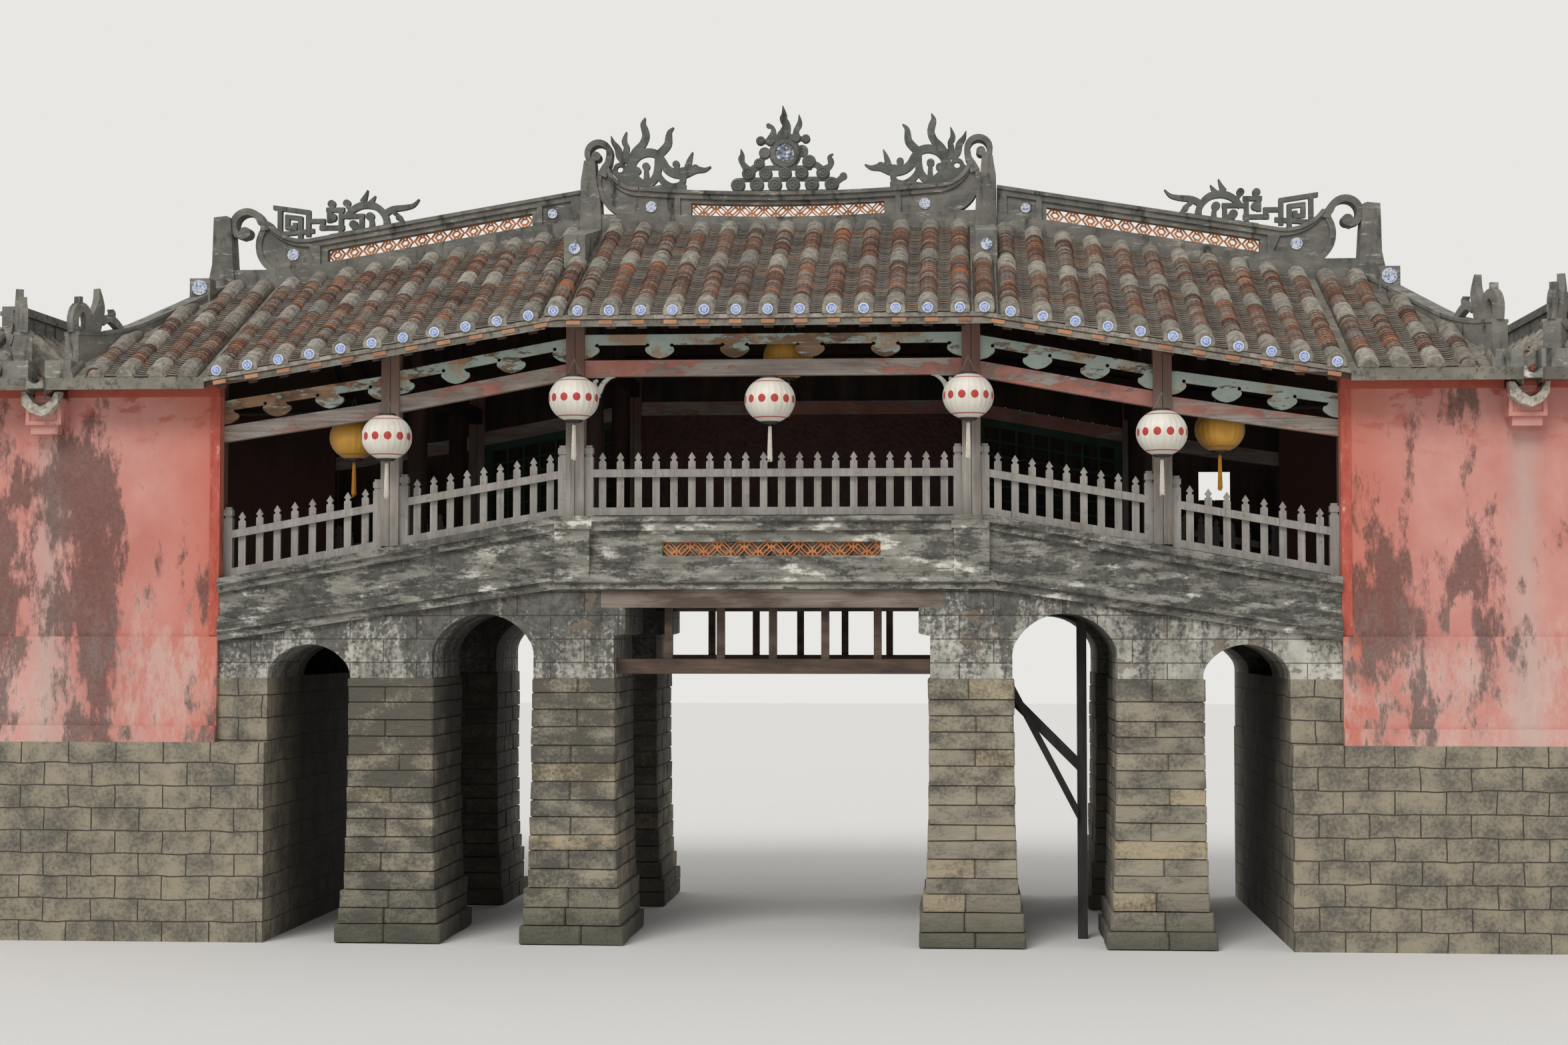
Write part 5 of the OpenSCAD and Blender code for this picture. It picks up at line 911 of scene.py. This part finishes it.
# Eaves of the bridge roof: a mortar edge over a dark batten that stands in for the shade under the edge, with
# the orange ends of the first course of flat tiles showing in a row below it.
edges, shade_battens, tile_ends = [], [], []
for face in (-1, 1):
    for x0, x1, plane in (
            (-SIDE_X, SIDE_X, Slope((0, 0, RIDGE_Z), (0, face), PITCH)),
            (SIDE_X, BRIDGE_END, Slope((SIDE_X, 0, RIDGE_Z), (0, face), PITCH, SIDE_FALL)),
            (-BRIDGE_END, -SIDE_X, Slope((-SIDE_X, 0, RIDGE_Z), (0, face), PITCH, SIDE_FALL))):
        count = max(8, round((x1 - x0) / ROLL_STEP))
        width = (x1 - x0) / count
        for k in range(count):
            middle = x0 + (k + 0.5) * (x1 - x0) / count
            at = plane.spot((middle - plane.start.x) * -face, EAVE)
            slant = math.atan(plane.fall) * (1 if middle > 0 else -1)
            tile_out, tile_wide = 0.01 + dice.uniform(0, 0.012), min(width, dice.uniform(0.14, 0.16))
            for store, low, high, out, wide in ((edges, -0.05, -0.002, 0.014, width * 1.01),
                                                (shade_battens, -0.062, -0.05, 0.006, width * 1.01),
                                                (tile_ends, -0.107, -0.062, tile_out, tile_wide)):
                inward = Vector((0, -face * (0.03 - out / 2), (low + high) / 2))
                store.append(Matrix.Translation(at + inward + Vector((0, face * out / 2, 0)))
                             @ Matrix.Rotation(slant, 4, "Y") @ Matrix.Diagonal((wide, 0.06, high - low, 1)))
laid("eave_edges", bevelled_block(0.03), edges, mortar.material, 0.004, 8)
# A dark strip of timber as painted shade under the mortar edge.
laid("eave_shade_battens", bevelled_block(0.02), shade_battens, rafter_wood.material)
orange = fired("flat_tile_ends", ("b07a58", "c48f6c", "8f6a52"), 0.4, False)
laid("flat_tile_ends", bevelled_block(0.03), tile_ends, orange, 0.002)

# Ridges, hips and crests: brick cores with dark lime stucco run to mouldings, scratched and stained, grey
# with paler worn faces on the hip walls.


def dark_stucco(name, base, worn, pale, share):
    """Stucco from a base colour to a worn one, scratched to a pale one, with black runs of mould."""
    coating = Finish(name, 0.9)
    cloud = coating.noise(2.6, (1, 1, 1.6), detail=8, rough=0.65)
    scratch = coating.noise(9, (0.4, 0.4, 1.6), detail=9, rough=0.8)
    coating.tint = coating.graded(cloud, 0.35, 0.65, base, worn)
    coating.over(pale, coating.between(scratch, 0.56, 0.64), share)
    coating.over("2f302d", coating.between(coating.noise(6, (1, 1, 0.3), detail=6), 0.55, 0.7))
    coating.relief(scratch, 0.006)
    coating.relief(cloud, 0.01)
    return coating


ridge = dark_stucco("ridge_stucco", "5c5b56", "827f76", "bfbbb0", 0.7)
ridge.done("ridge_centre", "ridges_side", "gate_ridges")
hip = dark_stucco("hip_stucco", "6b6a64", "8b887e", "c9c5b8", 0.7)
hip.done("hip_walls")
crest = dark_stucco("crest_stucco", "555652", "6f6f69", "aaa69a", 0.5)
crest.done("cloud_crest", "dragon_crests", "meander_crests")
plaque = Finish("plate_porcelain", 0.25)
vine = plaque.noise(38, detail=3, rough=0.6)
plaque.tint = plaque.graded(vine, 0.5, 0.6, "d3d7dc", "5f7cb4")
plaque.over("8f8d84", plaque.between(plaque.noise(14), 0.55, 0.75))
plaque.done("porcelain_discs")
CREST_FOOT = RIDGE_Z + 0.43
CREST_FACE = 0.05
ROUNDELS = [(x, 0.1, 0.092) for x in (-0.631, -0.391, -0.163, 0.066, 0.306, 0.557)]
ROUNDELS += [(x, 0.245, 0.086) for x in (-0.497, -0.28, -0.034, 0.177, 0.446)]
ROUNDELS += [(-0.362, 0.371, 0.07), (0.27, 0.389, 0.088), (-0.345, 0.664, 0.058), (0.229, 0.682, 0.056)]
ROUNDELS += [(-0.058, 0.734, 0.06)]
swirls = bmesh.new()
for face in (-1, 1):
    for x, z, radius in ROUNDELS:
        for share, stout in ((0.68, 0.011), (0.3, 0.012)):
            hoop = bmesh.ops.create_circle(swirls, segments=6, radius=stout)["verts"]
            bmesh.ops.rotate(swirls, verts=hoop, matrix=Matrix.Rotation(math.pi / 2, 3, "Y"))
            spot = Vector((x, face * CREST_FACE, CREST_FOOT + z))
            bmesh.ops.translate(swirls, verts=hoop, vec=spot + Vector((0, 0, radius * share)))
            edges = list(dict.fromkeys(edge for v in hoop for edge in v.link_edges))
            bmesh.ops.spin(swirls, geom=hoop + edges, cent=spot, axis=(0, 1, 0), dvec=(0, 0, 0),
                           angle=math.tau, steps=18, use_merge=True, use_duplicate=False)
bmesh.ops.recalc_face_normals(swirls, faces=swirls.faces[:])
swirl_mesh = bpy.data.meshes.new("crest_swirls")
swirls.to_mesh(swirl_mesh)
piece("crest_swirls", swirl_mesh, crest.material)
shards = [Matrix.Translation((-0.034, 0.02 if face > 0 else -0.032, CREST_FOOT + 0.5)) for face in (-1, 1)]
shard = Finish("porcelain_shards", 0.35)
chips = {"Vector": shard.place, "Scale": 26.0}
lot = shard.axis("X", shard.node("TexVoronoi", chips, "Color"))
shard.tint = shard.graded(lot, 0.45, 0.5, "5c5e5a", "7f90b8")
shard.over("cfd4da", shard.between(lot, 0.78, 0.8))
shard.relief(shard.node("TexVoronoi", chips, "Distance"), 0.01)
shard.done()
laid("medallion_shards", round_plate(0.124, 0.012), shards, shard.material)

# Lanterns: round silk lanterns on wire hoops, pearl white outside and yellow inside the gallery, with a
# ring and a cap at each end, a wire hanger and a long tassel. A band of plain red dots goes round the white
# ones.
LANTERN_D = 0.58
LANTERN_H = 0.52
HANGER = 0.2
RIBS = 24
WHITE_AT = [(x, -2.945, z) for x, z in ((0, 6.2), (-2.25, 6.23), (2.25, 6.23), (-4.42, 5.8), (4.42, 5.8))]
YELLOW_AT = [(-5.0, -2.15, 5.86), (0.15, -2.15, 6.78), (5.15, -2.15, 5.9)]


def silk_body(name, spots, material, node):
    """The silk covers: a crowned round form pulled in along its hoops, with a UV of angle and height."""
    bag = bmesh.new()
    chart = bag.loops.layers.uv.new("around")
    for spot in spots:
        made = bmesh.ops.create_uvsphere(bag, u_segments=RIBS * 4, v_segments=30, radius=1)["verts"]
        faces = {face for v in made for face in v.link_faces}
        for face in faces:
            angles = [math.atan2(loop.vert.co.y, loop.vert.co.x) / math.tau for loop in face.loops]
            for loop, angle in zip(face.loops, angles):
                turn = angle + (1 if max(angles) - angle > 0.5 else 0)
                loop[chart].uv = (turn, loop.vert.co.z / 2 + 0.5)
        for v in made:
            turn = math.atan2(v.co.y, v.co.x)
            rib = 1 - 0.022 * abs(math.sin(turn * RIBS / 2)) * (1 - v.co.z ** 4)
            v.co = Vector((v.co.x * rib * LANTERN_D / 2, v.co.y * rib * LANTERN_D / 2,
                           max(-0.96, min(0.96, v.co.z * 1.02)) * LANTERN_H / 2)) + Vector(spot)
        for face in faces:
            face.smooth = True
    mesh = bpy.data.meshes.new(name)
    bag.to_mesh(mesh)
    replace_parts(piece(name, mesh, material), node)


def rod(bag, foot, top, radius, tip, segments):
    """A round bar between two points."""
    way = top - foot
    turn = way.to_track_quat("Z", "Y").to_matrix().to_4x4()
    bmesh.ops.create_cone(bag, cap_ends=True, segments=segments, radius1=radius, radius2=tip,
                          depth=way.length, matrix=Matrix.Translation((top + foot) / 2) @ turn)


def lantern_fittings(name, spots, materials):
    """Rings with caps, hangers and tassels of one row of lanterns, a piece and a material for each."""
    bags = rings, hangers, tassels = [bmesh.new() for _ in range(3)]
    for x, y, z in spots:
        for side in (-1, 1):
            for radius, depth, out in ((0.105, 0.028, -0.012), (0.085, 0.02, 0.004)):
                at = Matrix.Translation((x, y, z + side * (LANTERN_H / 2 + out)))
                bmesh.ops.create_cone(rings, cap_ends=True, segments=28, radius1=radius, radius2=radius,
                                      depth=depth, matrix=at)
        top = Vector((x, y, z + LANTERN_H / 2 + HANGER))
        for side in (-1, 1):
            rod(hangers, Vector((x + side * 0.085, y, z + LANTERN_H / 2 - 0.005)), top, 0.004, 0.004, 8)
        foot_z = z - LANTERN_H / 2
        bmesh.ops.create_cone(hangers, cap_ends=True, segments=8, radius1=0.004, radius2=0.004, depth=0.05,
                              matrix=Matrix.Translation((x, y, foot_z - 0.02)))
        bmesh.ops.create_uvsphere(tassels, u_segments=16, v_segments=8, radius=0.022,
                                  matrix=Matrix.Translation((x, y, foot_z - 0.055)))
        dice = random.Random(int(x * 100))
        for k in range(26):
            turn = math.tau * k * 0.382
            reach = 0.004 + 0.018 * math.sqrt(k / 26)
            east, north = math.cos(turn) * reach, math.sin(turn) * reach
            lower = Vector((x + east * 1.25, y + north * 1.25, foot_z - dice.uniform(0.4, 0.45)))
            rod(tassels, lower, Vector((x + east * 0.8, y + north * 0.8, foot_z - 0.06)), 0.0042, 0.003, 5)
    for part, bag, material in zip(("rings", "hangers", "tassels"), bags, materials):
        mesh = bpy.data.meshes.new(name + "_" + part)
        bag.to_mesh(mesh)
        piece(name + "_" + part, mesh, material)


def silk(name, colour, shade, dots):
    """Silk over wire hoops, creased at each one with painted shade in the crease, with a line at both ends
    and, if asked for, dots.
    """
    cloth = Finish(name, 0.5)
    cloth.shader.inputs["Sheen Weight"].default_value = 0.3
    chart = cloth.node("UVMap", (), uv_map="around")
    turn, height = cloth.axis("X", chart), cloth.axis("Y", chart)
    hoop = abs(cloth.sums("SINE", turn * (math.pi * RIBS)))
    crease_shade = cloth.between(hoop, 0.12, 0.0)
    soft = cloth.noise(3.1, detail=4)
    cloth.tint = cloth.graded(soft, 0.35, 0.7, colour, shade)
    # Painted shade along the crease at each hoop.
    cloth.over("8f8069", crease_shade, 0.35)
    if dots:
        cell = cloth.sums("FRACT", turn * 12.0) - 0.5
        rise = (height - 0.5) * 3.4
        reach = cloth.sums("SQRT", cell * cell + rise * rise)
        cloth.over("b2352c", cloth.between(reach, 0.31, 0.29))
    for edge in (0.115, 0.885):
        ring = cloth.between(abs(height - edge), 0.012, 0.009)
        cloth.over("b2352c" if dots else "a9742a", ring)
    cloth.relief(cloth.noise(180, detail=2), 0.0006)
    return cloth.done()


def plain_finish(name, first, second, roughness, metallic=0.0):
    made = Finish(name, roughness)
    made.shader.inputs["Metallic"].default_value = metallic
    fine = made.noise(60, detail=5)
    made.relief(fine, 0.0008)
    made.tint = made.graded(fine, 0.35, 0.65, first, second)
    return made.done()


pearl = silk("pearl_silk", "ebe6da", "d6cfc0", True)
gold = silk("yellow_silk", "dca53c", "bd8428", False)
dark_fitting = plain_finish("lantern_rings", "2b2420", "3d332d", 0.5)
wire = plain_finish("hanger_wire", "6e6a64", "8d8981", 0.35, 0.8)
silk_body("silk_white", WHITE_AT, pearl, "lanterns_white")
silk_body("silk_yellow", YELLOW_AT, gold, "lanterns_yellow")
for colour, spots, fringe in (("white", WHITE_AT, ("e9e4da", "c9c2b4")),
                              ("yellow", YELLOW_AT, ("d99a2e", "b37a1f"))):
    finishes = (dark_fitting, wire, plain_finish(colour + "_fringe", *fringe, 0.7))
    lantern_fittings(colour + "_lantern", spots, finishes)

# Studio: a pale plain floor, a pale backdrop for the camera and for reflections, soft light from all round
# and a broad key from the upper front, and the camera of the photograph.
ground = bmesh.new()
bmesh.ops.create_grid(ground, x_segments=1, y_segments=1, size=90)
floor_mesh = bpy.data.meshes.new("studio_floor")
ground.to_mesh(floor_mesh)
pale_floor = Finish("studio_floor", 0.9)
pale_floor.tint = pale_floor.mixed(pale_floor.noise(0.6), "e0dfdc", "e3e2df")
pale_floor.done()
floor_mesh.materials.append(pale_floor.material)
studio_floor = bpy.data.objects.new("studio_floor", floor_mesh)
bpy.context.scene.collection.objects.link(studio_floor)

world = bpy.data.worlds.new("studio")
bpy.context.scene.world = world
world.use_nodes = True
nodes, links = world.node_tree.nodes, world.node_tree.links
seen = nodes.new("ShaderNodeLightPath")
plain = seen.outputs["Is Camera Ray"]
for kind in ("Is Glossy Ray", "Is Transmission Ray"):
    larger = nodes.new("ShaderNodeMath")
    larger.operation = "MAXIMUM"
    links.new(plain, larger.inputs[0])
    links.new(seen.outputs[kind], larger.inputs[1])
    plain = larger.outputs[0]
lit = nodes["Background"]
lit.inputs["Color"].default_value = (1.0, 0.995, 0.985, 1)
lit.inputs["Strength"].default_value = 0.62
pale = nodes.new("ShaderNodeBackground")
pale.inputs["Color"].default_value = hexed("e8e7e4")
pale.inputs["Strength"].default_value = 1.0
chosen = nodes.new("ShaderNodeMixShader")
links.new(plain, chosen.inputs[0])
links.new(lit.outputs[0], chosen.inputs[1])
links.new(pale.outputs[0], chosen.inputs[2])
links.new(chosen.outputs[0], nodes["World Output"].inputs["Surface"])

sun = bpy.data.lights.new("key", "SUN")
sun.energy = 1.5
sun.angle = math.radians(25)
key = bpy.data.objects.new("key", sun)
key.rotation_euler = (math.radians(48), 0, math.radians(-20))
bpy.context.scene.collection.objects.link(key)

lens = bpy.data.cameras.new("camera")
lens.lens = 55.62
lens.sensor_width = 36
lens.clip_end = 500
camera = bpy.data.objects.new("camera", lens)
camera.location = (2.11, -30.35, 3.57)
camera.rotation_euler = (math.radians(92.57), 0, math.radians(4.07))
bpy.context.scene.collection.objects.link(camera)
bpy.context.scene.camera = camera
bpy.context.scene.view_settings.view_transform = "Standard"
